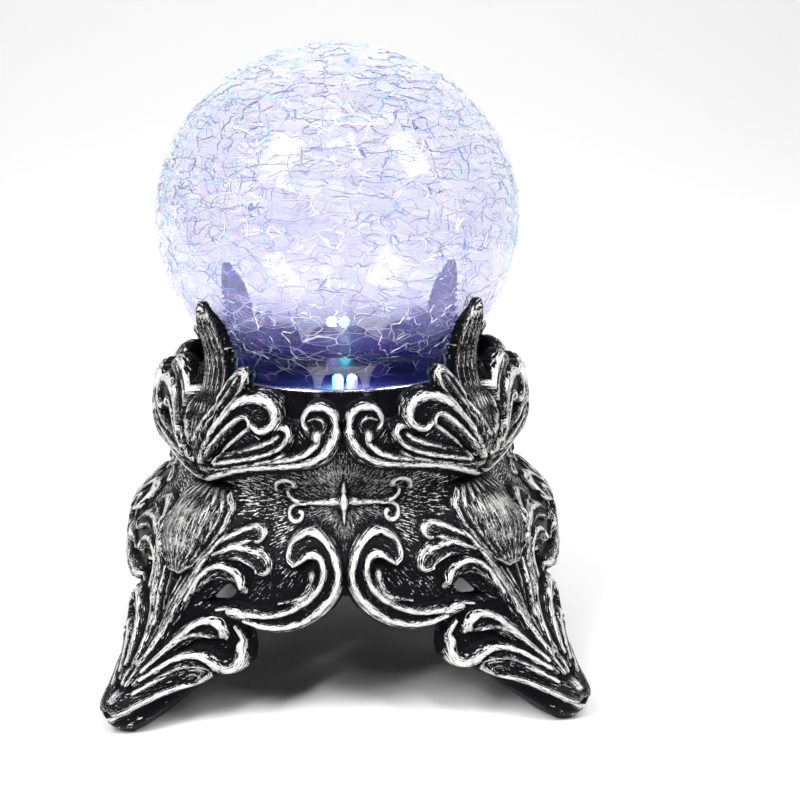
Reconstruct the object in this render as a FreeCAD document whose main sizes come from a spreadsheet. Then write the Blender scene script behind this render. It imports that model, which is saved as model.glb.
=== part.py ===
import FreeCAD, Part
import os
import Sketcher
from math import atan2, sqrt

# Crackle-glass fortune-teller globe on an ornate two-piece stand, in millimetres.
# +Z is up, the front face looks towards -Y, and the origin is on the ground under the middle.

DIMENSIONS = {
    # globe
    "globe_across": 75.0, "globe_up": 70.8, "globe_middle": 183.4, "glass": 2.2,
    "neck_outer": 51.6, "neck_top": 132.0, "neck_bottom": 115.0,
    # cup, with the soft ring and the light deck inside it
    "cup_outer": 53.3, "cup_inner": 51.9, "cup_bottom": 91.0, "cup_top": 122.9,
    "ring_seat": 114.0, "ring_seat_inner": 46.0, "deck_seat": 109.0, "cup_bore": 41.0,
    "floor": 5.0, "wire_bore": 22.0, "cup_rib": 0.5,
    "gasket_inner": 47.0, "gasket_outer": 51.4,
    "deck_radius": 45.7, "deck": 2.0,
    # crown
    "crown_bottom": 88.0, "crown_foot": 70.0, "crown_side": 78.0, "crown_side_up": 108.0,
    "crown_top": 125.0, "crown_top_radius": 75.0, "wall": 3.5, "dish_low": 103.0,
    "dish_inner": 54.2, "dish_outer": 57.5,
    "claw_tip": 158.4, "claw_tip_radius": 75.6, "claw_width": 15.0, "claw_gap": 0.6,
    "claw_waist": 70.5, "claw_waist_up": 134.0,
    # base stand
    "skirt_radius": 93.5, "skirt_mid": 51.0, "hem_radius": 100.0, "hem": 15.0, "lip": 38.0,
    "web": 4.0, "arch_half": 37.0, "arch_top": 54.0, "arch_foot": 66.0,
    "leg_width": 26.0, "shin_up": 34.0, "instep_up": 16.0, "toe_up": 7.0, "sole_up": 12.0, "calf_up": 30.0,
    "shin_step": 8.6, "instep_step": 24.6, "arch_knee": 24.0, "arch_instep": 15.0,
    "foot_reach": 129.0, "foot_half": 4.0, "foot_back": 115.0, "bulb_radius": 95.0,
    "eye_across": 45.0, "eye_up": 50.0, "eye_long": 13.0, "eye_tall": 6.0,
    # lamps and their board
    "lamp_radius": 2.5, "lamp_flange": 2.9, "lamp_foot": 108.6, "lamp_tall": 8.6,
    "lamp_gap": 6.3, "lamp_shift": 1.4, "lead": 0.5, "lead_gap": 2.54,
    "board_long": 36.0, "board_wide": 22.0, "board": 1.6, "board_bottom": 105.0,
    "chip": 5.0, "chip_tall": 1.6, "resistor": 0.9, "resistor_long": 5.0,
    # battery box
    "box_long": 64.0, "box_wide": 52.0, "box_bottom": 62.0, "box_wall": 2.0,
    "bay_long": 14.0, "bay_wide": 20.0, "cell_radius": 7.1, "cell_long": 49.5,
    "cell_pitch": 15.4, "cell_up": 72.6, "nub_radius": 2.7, "nub_long": 1.0, "plate": 0.5,
    "door": 2.0, "door_gap": 0.1, "hinge_out": 28.8, "hinge_up": 62.6,
    "barrel_radius": 2.3, "barrel_half": 20.0, "pin_radius": 1.0, "run_fit": 0.06,
    "ear": 4.0, "ear_gap": 0.3, "latch_out": 30.0, "latch_radius": 3.6, "bush_tall": 8.0,
    # screws
    "shank": 1.5, "head_radius": 2.9, "head": 2.2, "stack_radius": 36.0, "stack_long": 11.5,
    "lug_across": 37.0, "lug_out": 18.0, "lug": 10.0, "lug_thick": 4.0,
    # switch and wires
    "switch_long": 11.0, "switch_wide": 6.0, "switch_tall": 6.0, "knob": 3.0,
    "knob_drop": 3.6, "knob_travel": 2.5, "wire": 0.7, "wire_up": 81.0, "wire_side": 3.0,
    "spring_wire": 0.35, "spring_radius": 3.4,
}
SPRING_TURNS = 5

doc = FreeCAD.newDocument("CrystalBall")
sheet = doc.addObject("Spreadsheet::Sheet", "Dims")
for row, (alias, number) in enumerate(DIMENSIONS.items(), start=1):
    sheet.set(f"A{row}", alias)
    sheet.set(f"B{row}", str(number))
    sheet.setAlias(f"B{row}", alias)
doc.recompute()


class Size:
    """A length that carries its number and the sheet expression it comes from."""

    def __init__(self, number, text):
        self.number = float(number)
        self.text = text

    def __add__(self, other):
        other = as_size(other)
        return Size(self.number + other.number, f"({self.text} + {other.text})")

    def __sub__(self, other):
        other = as_size(other)
        return Size(self.number - other.number, f"({self.text} - {other.text})")

    def __mul__(self, factor):
        return Size(self.number * factor, f"({self.text} * {factor})")

    def __neg__(self):
        return Size(-self.number, f"(0 - {self.text})")


def as_size(value):
    return value if isinstance(value, Size) else Size(value, f"{float(value)}")


def size(alias):
    """One driving dimension from the sheet."""
    return Size(float(sheet.get(alias)), f"Dims.{alias}")


def bind(thing, prop, value):
    thing.setExpression(prop, as_size(value).text)


def place(thing, across=0.0, out=0.0, up=0.0):
    bind(thing, "Placement.Base.x", across)
    bind(thing, "Placement.Base.y", out)
    bind(thing, "Placement.Base.z", up)
    return thing


def box(name, low, spans):
    """Box from its lowest corner and its three spans."""
    thing = doc.addObject("Part::Box", name)
    for prop, span in zip(("Length", "Width", "Height"), spans):
        bind(thing, prop, span)
    return place(thing, *low)


def cylinder(name, centre, radius, length, along="z"):
    """Cylinder that starts at a point and runs along +X or +Z."""
    thing = doc.addObject("Part::Cylinder", name)
    bind(thing, "Radius", radius)
    bind(thing, "Height", length)
    thing.Placement.Rotation = FreeCAD.Rotation(FreeCAD.Vector(0, 1, 0), 90 if along == "x" else 0)
    return place(thing, *centre)


def ellipsoid(name, across, upwards, up):
    thing = doc.addObject("Part::Ellipsoid", name)
    bind(thing, "Radius1", upwards)
    bind(thing, "Radius2", across)
    bind(thing, "Radius3", across)
    thing.Angle1 = -90
    thing.Angle2 = 90
    return place(thing, 0, 0, up)


def fuse(name, parts):
    thing = doc.addObject("Part::MultiFuse", name)
    thing.Shapes = parts
    thing.Refine = True
    return thing


def cut(name, base, tool):
    thing = doc.addObject("Part::Cut", name)
    thing.Base = base
    thing.Tool = tool
    return thing


def group(name, parts):
    """Identical separate solids that share one node."""
    thing = doc.addObject("Part::Compound", name)
    thing.Links = parts
    return thing


def tube(name, outer, inner, low, high):
    """Upright ring between two heights."""
    around = cylinder(name + "Around", (0, 0, low), outer, high - low)
    hollow = cylinder(name + "Hollow", (0, 0, low - 1), inner, high - low + 2)
    return cut(name, around, hollow)


def post(name, centre, spans, low, tall):
    """Box that is centred on a point of the plan and stands on the height low."""
    corner = [as_size(middle) - as_size(span) * 0.5 for middle, span in zip(centre, spans)]
    return box(name, (corner[0], corner[1], low), (spans[0], spans[1], tall))


def screw(name, across, out, up, length, scale=1.0):
    """Pan-head screw that points up, with its head below the height up."""
    head_tall, head_radius = size("head") * scale, size("head_radius") * scale
    shank = cylinder(name + "Shank", (across, out, up), size("shank") * scale, length)
    head = cylinder(name + "Head", (across, out, up - head_tall), head_radius, head_tall)
    slot = post(name + "Slot", (across, out), (head_radius * 1.3, 0.8), up - head_tall - 0.4, 1.2)
    return cut(name, fuse(name + "Blank", [shank, head]), slot)


def origin_plane(body, role):
    return next(item for item in body.Origin.OriginFeatures if item.Role == role)


def pin_point(sketch, edge, point, across, up):
    """Hold a sketch point at a place that the sheet drives."""
    for kind, value, axis in (("DistanceX", across, -2), ("DistanceY", up, -1)):
        value = as_size(value)
        if abs(value.number) < 1e-9:
            sketch.addConstraint(Sketcher.Constraint("PointOnObject", edge, point, axis))
            continue
        index = sketch.addConstraint(Sketcher.Constraint(kind, -1, 1, edge, point, value.number))
        sketch.setExpression(f"Constraints[{index}]", value.text)


def outline(body, name, role, points, arcs=(), turn=0.0, about=(0, 1, 0)):
    """Closed outline. arcs maps a side's number to its radius, negative where it bends the other way."""
    sketch = body.newObject("Sketcher::SketchObject", name)
    sketch.AttachmentSupport = (origin_plane(body, role), [""])
    sketch.MapMode = "FlatFace"
    rotation = FreeCAD.Rotation(FreeCAD.Vector(*about), turn)
    sketch.AttachmentOffset = FreeCAD.Placement(FreeCAD.Vector(), rotation)
    arcs = dict(arcs)
    corners = [(as_size(across), as_size(up)) for across, up in points]
    ends = []
    for side, start in enumerate(corners):
        stop = corners[(side + 1) % len(corners)]
        from_point = FreeCAD.Vector(start[0].number, start[1].number, 0)
        to_point = FreeCAD.Vector(stop[0].number, stop[1].number, 0)
        if side in arcs:
            bend, left = abs(arcs[side]), arcs[side] < 0
            chord = to_point - from_point
            reach = sqrt(bend * bend - chord.Length ** 2 / 4)
            inward = FreeCAD.Vector(-chord.y, chord.x, 0).normalize() * (-reach if left else reach)
            centre = (from_point + to_point) * 0.5 + inward
            first, last = (to_point, from_point) if left else (from_point, to_point)
            angles = [atan2(point.y - centre.y, point.x - centre.x) for point in (first, last)]
            circle = Part.Circle(centre, FreeCAD.Vector(0, 0, 1), bend)
            edge = sketch.addGeometry(Part.ArcOfCircle(circle, *angles), False)
            ends.append((edge, 2, 1) if left else (edge, 1, 2))
            sketch.addConstraint(Sketcher.Constraint("Radius", edge, bend))
        else:
            ends.append((sketch.addGeometry(Part.LineSegment(from_point, to_point), False), 1, 2))
    for side, (edge, first, last) in enumerate(ends):
        after = ends[(side + 1) % len(ends)]
        sketch.addConstraint(Sketcher.Constraint("Coincident", edge, last, after[0], after[1]))
        pin_point(sketch, edge, first, *corners[side])
    return sketch


def revolve(body, name, sketch):
    feature = body.newObject("PartDesign::Revolution", name)
    feature.Profile = sketch
    feature.ReferenceAxis = (sketch, ["V_Axis"])
    feature.Angle = 360
    sketch.Visibility = False
    doc.recompute()
    return feature


def slab(body, name, sketch, width):
    """Pad to both sides of its sketch."""
    feature = body.newObject("PartDesign::Pad", name)
    feature.Profile = sketch
    bind(feature, "Length", width)
    feature.Midplane = True
    sketch.Visibility = False
    doc.recompute()
    return feature


def slot_through(body, name, sketch):
    """Pocket to both sides of its sketch, through everything."""
    before = body.Shape.Volume
    feature = body.newObject("PartDesign::Pocket", name)
    feature.Profile = sketch
    feature.Type = "ThroughAll"
    feature.Midplane = True
    sketch.Visibility = False
    doc.recompute()
    if body.Shape.Volume >= before:
        raise RuntimeError(f"{name} removed nothing")
    return feature


def polar(body, name, features, count, angle=360.0):
    pattern = body.newObject("PartDesign::PolarPattern", name)
    pattern.Originals = features
    pattern.Axis = (origin_plane(body, "Z_Axis"), [""])
    pattern.Angle = angle
    pattern.Occurrences = count
    body.Tip = pattern
    doc.recompute()
    return pattern


def hole(body, name, places, radius, low, high):
    """Upright round holes between two heights, at places of the plan."""
    before = body.Shape.Volume
    sketch = body.newObject("Sketcher::SketchObject", name + "Sketch")
    sketch.AttachmentSupport = (origin_plane(body, "XY_Plane"), [""])
    sketch.MapMode = "FlatFace"
    bind(sketch, "AttachmentOffset.Base.z", high)
    for across, out in places:
        centre = FreeCAD.Vector(as_size(across).number, as_size(out).number, 0)
        edge = sketch.addGeometry(Part.Circle(centre, FreeCAD.Vector(0, 0, 1), radius.number), False)
        pin_point(sketch, edge, 3, across, out)
        index = sketch.addConstraint(Sketcher.Constraint("Radius", edge, radius.number))
        sketch.setExpression(f"Constraints[{index}]", radius.text)
    feature = body.newObject("PartDesign::Pocket", name)
    feature.Profile = sketch
    bind(feature, "Length", high - low)
    sketch.Visibility = False
    doc.recompute()
    if body.Shape.Volume >= before:
        raise RuntimeError(f"{name} removed nothing")
    return feature


def new_body(name):
    return doc.addObject("PartDesign::Body", name)


nodes = []


def node(name, thing):
    """Give a finished sub-part its node name."""
    thing.Label = name
    nodes.append(thing)
    return thing


# Places that several sub-parts share.
DIAGONAL = 45.0
half_box = size("box_long") * 0.5
half_wide = size("box_wide") * 0.5
web_bottom = size("crown_bottom") - size("web")
stack_places = [(size("stack_radius") * (side * 0.5), size("stack_radius") * (end * 0.866))
                for side in (-1, 1) for end in (-1, 1)]
lug_places = [(size("lug_across") * side, size("lug_out") * end) for side in (-1, 1) for end in (-1, 1)]
lamp_places = [size("lamp_shift") - size("lamp_gap") * 0.5, size("lamp_shift") + size("lamp_gap") * 0.5]
board_ends = [size("lamp_shift") - 14, size("lamp_shift") + 14]
cell_places = [size("cell_pitch") * row for row in (-1, 0, 1)]
bay_middle = half_box + size("bay_long") * 0.5
plate_face = half_box - size("box_wall") - size("plate")
terminal_steps = (-3.6, 0.0, 3.6)


def beside_globe(up):
    """Radius that clears the globe by the claws' gap at a height."""
    across = size("globe_across") + size("claw_gap")
    upward = size("globe_up") + size("claw_gap")
    drop = as_size(up) - size("globe_middle")
    number = across.number * sqrt(1 - (drop.number / upward.number) ** 2)
    return Size(number, f"{across.text} * sqrt(1 - ({drop.text} / {upward.text}) ^ 2)")


def make_base_stand():
    """Lower moulding: bombe skirt under a flat web, four clawed legs and an arch under each face."""
    body = new_body("BaseStand")
    top = size("crown_bottom")
    thick = size("wall")
    skirt = outline(body, "SkirtSection", "XZ_Plane", [
        (size("wire_bore"), web_bottom),
        (size("crown_foot") - thick, web_bottom),
        (size("skirt_radius") - thick, size("skirt_mid")),
        (size("hem_radius") - thick, size("hem")),
        (size("hem_radius"), size("hem")),
        (size("skirt_radius"), size("skirt_mid")),
        (size("crown_foot"), top),
        (size("wire_bore"), top)], {1: -46.0, 2: 60.0, 4: -60.0, 5: 46.0})
    revolve(body, "Skirt", skirt)
    leg = outline(body, "LegSection", "XZ_Plane", [
        (size("crown_foot") - 2, top - 2),
        (size("bulb_radius") - 12, top - 5),
        (size("bulb_radius"), top - 18),
        (size("bulb_radius"), size("skirt_mid") + 4),
        (size("bulb_radius") + size("shin_step"), size("shin_up")),
        (size("bulb_radius") + size("instep_step"), size("instep_up")),
        (size("foot_reach"), size("toe_up")),
        (size("foot_reach") - 3, 0.0),
        (size("foot_back"), 0.0),
        (size("foot_back") - 7, size("sole_up")),
        (size("foot_back") - 21, size("calf_up")),
        (size("skirt_radius") - 5, size("skirt_mid")),
        (size("crown_foot"), top - 22)], {1: -18.0, 3: 40.0, 4: 60.0}, DIAGONAL)
    pad = slab(body, "Leg", leg, size("leg_width"))
    polar(body, "Legs", [pad], 4)
    heel, tip = size("bulb_radius"), size("foot_reach") + 4
    trims = []
    for name, side in (("LeftTrim", 1), ("RightTrim", -1)):
        section = outline(body, name + "Section", "XY_Plane", [
            (heel, size("leg_width") * (0.5 * side)), (tip, size("foot_half") * side),
            (tip, size("leg_width") * side), (heel, size("leg_width") * side)], {}, -DIAGONAL, (0, 0, 1))
        trims.append(slot_through(body, name, section))
    polar(body, "Trims", trims, 4)
    arch = outline(body, "ArchSection", "XZ_Plane", [
        (-size("arch_foot"), -1.0),
        (-size("arch_half") - 14, size("arch_instep")),
        (-size("arch_half"), size("arch_knee")),
        (-size("arch_half"), size("lip") + 3),
        (-size("arch_half") * 0.5, size("lip") + 1),
        (0.0, size("arch_top")),
        (size("arch_half") * 0.5, size("lip") + 1),
        (size("arch_half"), size("lip") + 3),
        (size("arch_half"), size("arch_knee")),
        (size("arch_half") + 14, size("arch_instep")),
        (size("arch_foot"), -1.0)], {4: -24.0, 5: -24.0})
    polar(body, "Arches", [slot_through(body, "Arch", arch)], 2, 90.0)
    eyes = []
    for name, side in (("LeftEye", -1), ("RightEye", 1)):
        inner = size("eye_across") * side
        outer = (size("eye_across") + size("eye_long")) * side
        section = outline(body, name + "Section", "XZ_Plane", [
            (inner, size("eye_up")), (inner, size("eye_up") + size("eye_tall")), (outer, size("eye_up"))])
        eyes.append(slot_through(body, name, section))
    polar(body, "Eyes", eyes, 2, 90.0)
    hole(body, "StackHoles", stack_places, size("shank") + 0.1, web_bottom - 1, top + 1)
    hole(body, "LugHoles", lug_places, size("shank"), web_bottom - 1, top - 0.5)
    return body


def make_crown():
    """Upper moulding: a bowl-shaped wall round the cup and four claws that stand beside the globe."""
    body = new_body("Crown")
    low = size("crown_bottom")
    thick = size("wall")
    wall = outline(body, "CrownSection", "XZ_Plane", [
        (size("wire_bore"), low),
        (size("dish_outer"), low),
        (size("dish_outer"), size("dish_low") - 3),
        (size("crown_top_radius") - 2, size("crown_top") - 8),
        (size("crown_side") - thick, size("crown_side_up")),
        (size("crown_foot") - thick, low),
        (size("crown_foot"), low),
        (size("crown_side"), size("crown_side_up")),
        (size("crown_top_radius"), size("crown_top")),
        (size("crown_top_radius") - 3, size("crown_top") - 1),
        (size("dish_inner"), size("dish_low")),
        (size("dish_inner"), size("cup_bottom")),
        (size("wire_bore"), size("cup_bottom"))], {6: 40.0, 7: 60.0})
    revolve(body, "Wall", wall)
    tip, tip_radius, waist = size("claw_tip"), size("claw_tip_radius"), size("claw_waist")
    claw = outline(body, "ClawSection", "XZ_Plane", [
        (size("crown_side") - 3.5, low + 11),
        (size("crown_side") + 1.4, size("crown_side_up")),
        (waist + 4.5, size("crown_top") - 7),
        (waist, size("claw_waist_up")),
        (waist + 1.6, size("claw_waist_up") + 9),
        (tip_radius, tip - 6),
        (tip_radius, tip),
        (beside_globe(tip) + 2.6, tip),
        (waist - 4.2, tip - 12),
        (waist - 7, size("claw_waist_up")),
        (waist - 7, size("crown_top") - 13),
        (size("crown_top_radius") - 1.5, size("crown_top") - 9)], {2: -60.0, 8: -40.0}, DIAGONAL)
    pad = slab(body, "Claw", claw, size("claw_width"))
    polar(body, "Claws", [pad], 4)
    hole(body, "CrownStackHoles", stack_places, size("shank") + 0.1, low - 1, size("cup_bottom") + 1)
    return body


def make_cup():
    """Black cup: a floor, a step for the deck, a step for the soft ring and twelve faint ribs."""
    body = new_body("Cup")
    low = size("cup_bottom")
    section = outline(body, "CupSection", "XZ_Plane", [
        (size("wire_bore"), low),
        (size("cup_outer"), low),
        (size("cup_outer"), size("cup_top")),
        (size("cup_inner"), size("cup_top")),
        (size("cup_inner"), size("ring_seat")),
        (size("ring_seat_inner"), size("ring_seat")),
        (size("ring_seat_inner"), size("deck_seat")),
        (size("cup_bore"), size("deck_seat")),
        (size("cup_bore"), low + size("floor")),
        (size("wire_bore"), low + size("floor"))])
    revolve(body, "CupWall", section)
    groove = outline(body, "CupGrooveSection", "XZ_Plane", [
        (size("cup_outer") - size("cup_rib"), size("dish_low")),
        (size("cup_outer") + 1, size("dish_low")),
        (size("cup_outer") + 1, size("cup_top") - 2),
        (size("cup_outer") - size("cup_rib"), size("cup_top") - 2)], {}, 15.0)
    before = body.Shape.Volume
    cutter = body.newObject("PartDesign::Pocket", "CupGroove")
    cutter.Profile = groove
    cutter.Length = 0.6
    cutter.Midplane = True
    doc.recompute()
    if body.Shape.Volume >= before:
        raise RuntimeError("CupGroove removed nothing")
    polar(body, "CupGrooves", [cutter], 12)
    hole(body, "CupStackHoles", stack_places, size("shank"), low - 1, low + size("floor") + 1)
    return body


def make_globe():
    """Hollow glass globe, slightly flattened, open at a smooth upright neck."""
    neck_low, neck_high = size("neck_bottom"), size("neck_top")
    middle, across, upward = size("globe_middle"), size("globe_across"), size("globe_up")
    cap = post("GlobeSpan", (0, 0), (across * 3, across * 3), neck_high, upward * 3)
    dome = doc.addObject("Part::MultiCommon", "GlobeDome")
    dome.Shapes = [ellipsoid("GlobeOuter", across, upward, middle), cap]
    neck = cylinder("GlobeNeck", (0, 0, neck_low), size("neck_outer"), neck_high - neck_low)
    outside = fuse("GlobeOutside", [dome, neck])
    hollow = ellipsoid("GlobeInner", across - size("glass"), upward - size("glass"), middle)
    bore = cylinder("GlobeBore", (0, 0, neck_low - 1), size("neck_outer") - size("glass"),
                    neck_high - neck_low + 6)
    return cut("Globe", cut("GlobeShell", outside, hollow), bore)


def make_deck():
    """Black disc under the globe, with a hole for each lamp and two posts for the board."""
    up = size("deck_seat")
    disc = cylinder("DeckDisc", (0, 0, up), size("deck_radius"), size("deck"))
    post_low = size("board_bottom") + size("board")
    posts = [cylinder(f"DeckPost{number}", (across, 0, post_low), 2.6, up - post_low + 0.5)
             for number, across in enumerate(board_ends)]
    lamp_bore = size("lamp_flange") + 0.2
    lamp_holes = [cylinder(f"DeckHole{number}", (across, 0, up - 1), lamp_bore, size("deck") + 2)
                  for number, across in enumerate(lamp_places)]
    screw_holes = [cylinder(f"DeckBore{number}", (across, 0, post_low - 1), size("shank") * 0.66, 4.0)
                   for number, across in enumerate(board_ends)]
    return cut("Deck", fuse("DeckBlank", [disc] + posts), fuse("DeckHoles", lamp_holes + screw_holes))


def make_board():
    up = size("board_bottom")
    spans = (size("board_long"), size("board_wide"))
    plate = post("BoardPlate", (size("lamp_shift"), 0), spans, up, size("board"))
    bores = [cylinder(f"BoardBore{number}", (across, 0, up - 1), size("shank") * 0.8, size("board") + 2)
             for number, across in enumerate(board_ends)]
    leads = [cylinder(f"BoardLeadBore{number}", (across, out, up - 1), size("lead"), size("board") + 2)
             for number, (across, out) in enumerate(lead_places())]
    return cut("Board", plate, fuse("BoardBores", bores + leads))


def lead_places():
    half = size("lead_gap") * 0.5
    return [(across, half * side) for across in lamp_places for side in (-1, 1)]


def make_lamp(name, across):
    """5 mm lamp: flange, barrel and dome."""
    up = size("lamp_foot")
    flange = cylinder(name + "Flange", (across, 0, up), size("lamp_flange"), 1.0)
    barrel_tall = size("lamp_tall") - size("lamp_radius")
    barrel = cylinder(name + "Barrel", (across, 0, up), size("lamp_radius"), barrel_tall)
    dome = doc.addObject("Part::Sphere", name + "Dome")
    bind(dome, "Radius", size("lamp_radius"))
    place(dome, across, 0, up + barrel_tall)
    return fuse(name, [flange, barrel, dome])


def make_leads():
    """Lamp leads, from the lamps' feet down through the board."""
    low = size("board_bottom") - 1
    return group("Leads", [
        cylinder(f"Lead{number}", (across, out, low), size("lead") * 0.9, size("lamp_foot") - low)
        for number, (across, out) in enumerate(lead_places())])


def make_chip():
    """Colour-change chip under the board, with its legs in one moulded block."""
    up = size("board_bottom") - size("chip_tall")
    spans = (size("chip"), size("chip") * 0.8)
    block = post("ChipBlock", (size("lamp_shift"), -6.5), spans, up, size("chip_tall"))
    rows = [post(f"ChipLegs{side + 1}", (size("lamp_shift"), size("chip") * (0.4 * side) - 6.5),
                 (size("chip") * 0.9, 1.0), up + 0.6, size("chip_tall") - 0.6) for side in (-1, 1)]
    return fuse("Chip", [block] + rows)


def make_resistors():
    """Two resistors that lie under the board."""
    long = size("resistor_long")
    up = size("board_bottom") - size("resistor")
    return group("Resistors", [
        cylinder(f"Resistor{side + 1}", (size("lamp_shift") + side * 7 - long * 0.5, 7.6, up),
                 size("resistor"), long, "x") for side in (-1, 1)])


def make_battery_box():
    """Open-bottomed box for three cells, with a switch bay, screw lugs, hinge ears and a latch web."""
    low, high, wall = size("box_bottom"), web_bottom, size("box_wall")
    tall = high - low
    shell = box("BoxShell", (-half_box, -half_wide, low), (size("box_long"), size("box_wide"), tall))
    hollow = box("BoxHollow", (wall - half_box, wall - half_wide, low - 1),
                 (size("box_long") - wall * 2, size("box_wide") - wall * 2, tall + 1 - wall))
    bay_half = size("bay_wide") * 0.5
    bay = box("BayShell", (half_box - 1, -bay_half, low), (size("bay_long") + 1, size("bay_wide"), tall))
    bay_hollow = box("BayHollow", (half_box, wall - bay_half, low + wall),
                     (size("bay_long") - wall, size("bay_wide") - wall * 2, tall))
    slot_long = size("knob") + size("knob_travel") + 1.0
    slot_middle = (bay_middle, size("knob_travel") * 0.5)
    slot = post("KnobSlot", slot_middle, (size("knob") + 0.8, slot_long), low - 1, wall + 2)
    lugs = [post(f"Lug{number}", (across, out), (size("lug") + 2, size("lug")), high - size("lug_thick"),
                 size("lug_thick")) for number, (across, out) in enumerate(lug_places)]
    lug_bores = [cylinder(f"LugBore{number}", (across, out, high - size("lug_thick") - 1),
                          size("shank") + 0.1, size("lug_thick") + 2)
                 for number, (across, out) in enumerate(lug_places)]
    ears = []
    for number, start in enumerate((size("barrel_half") + size("ear_gap"),
                                    -size("barrel_half") - size("ear_gap") - size("ear"))):
        web = box(f"EarWeb{number}", (start, half_wide - 1, low),
                  (size("ear"), size("hinge_out") - half_wide + 1, size("barrel_radius") * 3))
        eye = cylinder(f"EarEye{number}", (start, size("hinge_out"), size("hinge_up")),
                       size("barrel_radius"), size("ear"), "x")
        ears += [web, eye]
    latch_web = post("LatchWeb", (0, -half_wide - 0.3), (10.0, 2.6), low, size("bush_tall"))
    latch_seat = cylinder("LatchSeat", (0, -size("latch_out"), low - 1), size("latch_radius"),
                          size("bush_tall") + 2)
    pin_bore = cylinder("EarBore", (-size("barrel_half") - 8, size("hinge_out"), size("hinge_up")),
                        size("pin_radius"), size("barrel_half") * 2 + 16, "x")
    wire_window = cylinder("WireWindow", (0, 0, high - wall - 1), size("wire_bore") * 0.86, wall + 2)
    wire_notch = post("WireNotch", (half_box - wall * 0.5, 1.0), (wall * 2, 14.0), size("wire_up") - 1.2, 2.2)
    outer = fuse("BoxBlank", [shell, bay, latch_web] + lugs + ears)
    return cut("BatteryBox", outer, fuse("BoxHollows", [
        hollow, bay_hollow, slot, latch_seat, pin_bore, wire_window, wire_notch] + lug_bores))


def make_latch_bush():
    """Brass bush in the box's web that the door's captive screw goes into."""
    out, low, tall = -size("latch_out"), size("box_bottom"), size("bush_tall")
    around = cylinder("BushAround", (0, out, low), size("latch_radius"), tall)
    bore = cylinder("BushBore", (0, out, low - 1), size("shank") + 0.8, tall + 2)
    return cut("Bush", around, bore)


def make_cell(number, out):
    """AA cell along X, its raised contact against one plate, at the other end on every second cell."""
    name = f"Cell{number}"
    long, nub_long = size("cell_long"), size("nub_long")
    to_right = number % 2 == 1
    jacket_start = plate_face - nub_long - long if to_right else nub_long - plate_face
    nub_start = plate_face - nub_long if to_right else -plate_face
    jacket = cylinder(name + "Jacket", (jacket_start, out, size("cell_up")), size("cell_radius"), long, "x")
    nub = cylinder(name + "Nub", (nub_start, out, size("cell_up")), size("nub_radius"), nub_long, "x")
    return fuse(name, [jacket, nub])


def make_spring(number, out):
    """Coil spring between a contact plate and a cell's flat end."""
    wire, coil_radius = size("spring_wire").number, size("spring_radius").number
    room = plate_face * 2 - size("cell_long") - size("nub_long")
    height = room.number - wire * 2
    coil = Part.makeHelix(height / SPRING_TURNS, height, coil_radius)
    ring = Part.Wire(Part.makeCircle(wire, FreeCAD.Vector(coil_radius, 0, 0), FreeCAD.Vector(0, 1, 0)))
    thing = doc.addObject("Part::Feature", f"Spring{number}")
    thing.Shape = Part.Wire(coil.Edges).makePipeShell([ring], True, True)
    side = -1 if number % 2 else 1
    thing.Placement.Rotation = FreeCAD.Rotation(FreeCAD.Vector(0, 1, 0), -90 * side)
    return place(thing, (plate_face - wire) * side, out, size("cell_up"))


def make_plates():
    """Contact plates at both ends of the row of cells."""
    low = size("cell_up") - 5
    spans = (size("plate"), size("cell_pitch") * 2 + 12, size("wire_up") - size("wire") - low)
    return group("Plates", [box(f"Plate{number}", (start, -size("cell_pitch") - 6, low), spans)
                            for number, start in enumerate((plate_face, -plate_face - size("plate")))])


def make_door():
    """Battery door: plate, hinge barrel and a tongue for the captive screw."""
    top = size("box_bottom") - size("door_gap")
    low = top - size("door")
    plate = box("DoorPlate", (-half_box, -half_wide, low), (size("box_long"), size("box_wide"), size("door")))
    tongue = box("DoorTongue", (-6.0, -size("latch_out") - 5, low),
                 (12.0, size("latch_out") + 6 - half_wide, size("door")))
    arm = box("DoorArm", (-size("barrel_half"), half_wide - 1, low),
              (size("barrel_half") * 2, size("hinge_out") - half_wide + 1, size("door")))
    barrel = cylinder("DoorBarrel", (-size("barrel_half"), size("hinge_out"), size("hinge_up")),
                      size("barrel_radius"), size("barrel_half") * 2, "x")
    ribs = [post(f"DoorRib{number}", (0, out), (size("box_long") - 10, 1.2), low - 0.6, 1.0)
            for number, out in enumerate((-12.0, 0.0, 12.0))]
    bore = cylinder("DoorPinBore", (-size("barrel_half") - 1, size("hinge_out"), size("hinge_up")),
                    size("pin_radius") + size("run_fit"), size("barrel_half") * 2 + 2, "x")
    screw_bore = cylinder("DoorScrewBore", (0, -size("latch_out"), low - 1), size("shank") + size("run_fit"),
                          size("door") + 2)
    blank = fuse("DoorBlank", [plate, tongue, arm, barrel] + ribs)
    return cut("Door", blank, fuse("DoorBores", [bore, screw_bore]))


def make_hinge_pin():
    reach = size("barrel_half") + size("ear_gap") + size("ear")
    start = (-reach, size("hinge_out"), size("hinge_up"))
    return cylinder("HingePin", start, size("pin_radius"), reach * 2, "x")


def make_switch():
    """Slide switch body over the slot in its bay, with three terminals."""
    low = size("box_bottom") + size("box_wall")
    spans = (size("switch_wide"), size("switch_long"))
    centre = (bay_middle, size("knob_travel") * 0.5)
    case = post("SwitchCase", centre, spans, low, size("switch_tall"))
    room_long = size("knob") + size("knob_travel") + 1.0
    room = post("SwitchRoom", centre, (size("knob") + 0.8, room_long), low - 1, 4.0)
    terminals = [post(f"Terminal{number}", (bay_middle, centre[1] + step), (1.0, 0.6),
                      low + size("switch_tall") - 0.5, 2.5) for number, step in enumerate(terminal_steps)]
    return cut("Switch", fuse("SwitchBlank", [case] + terminals), room)


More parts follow.
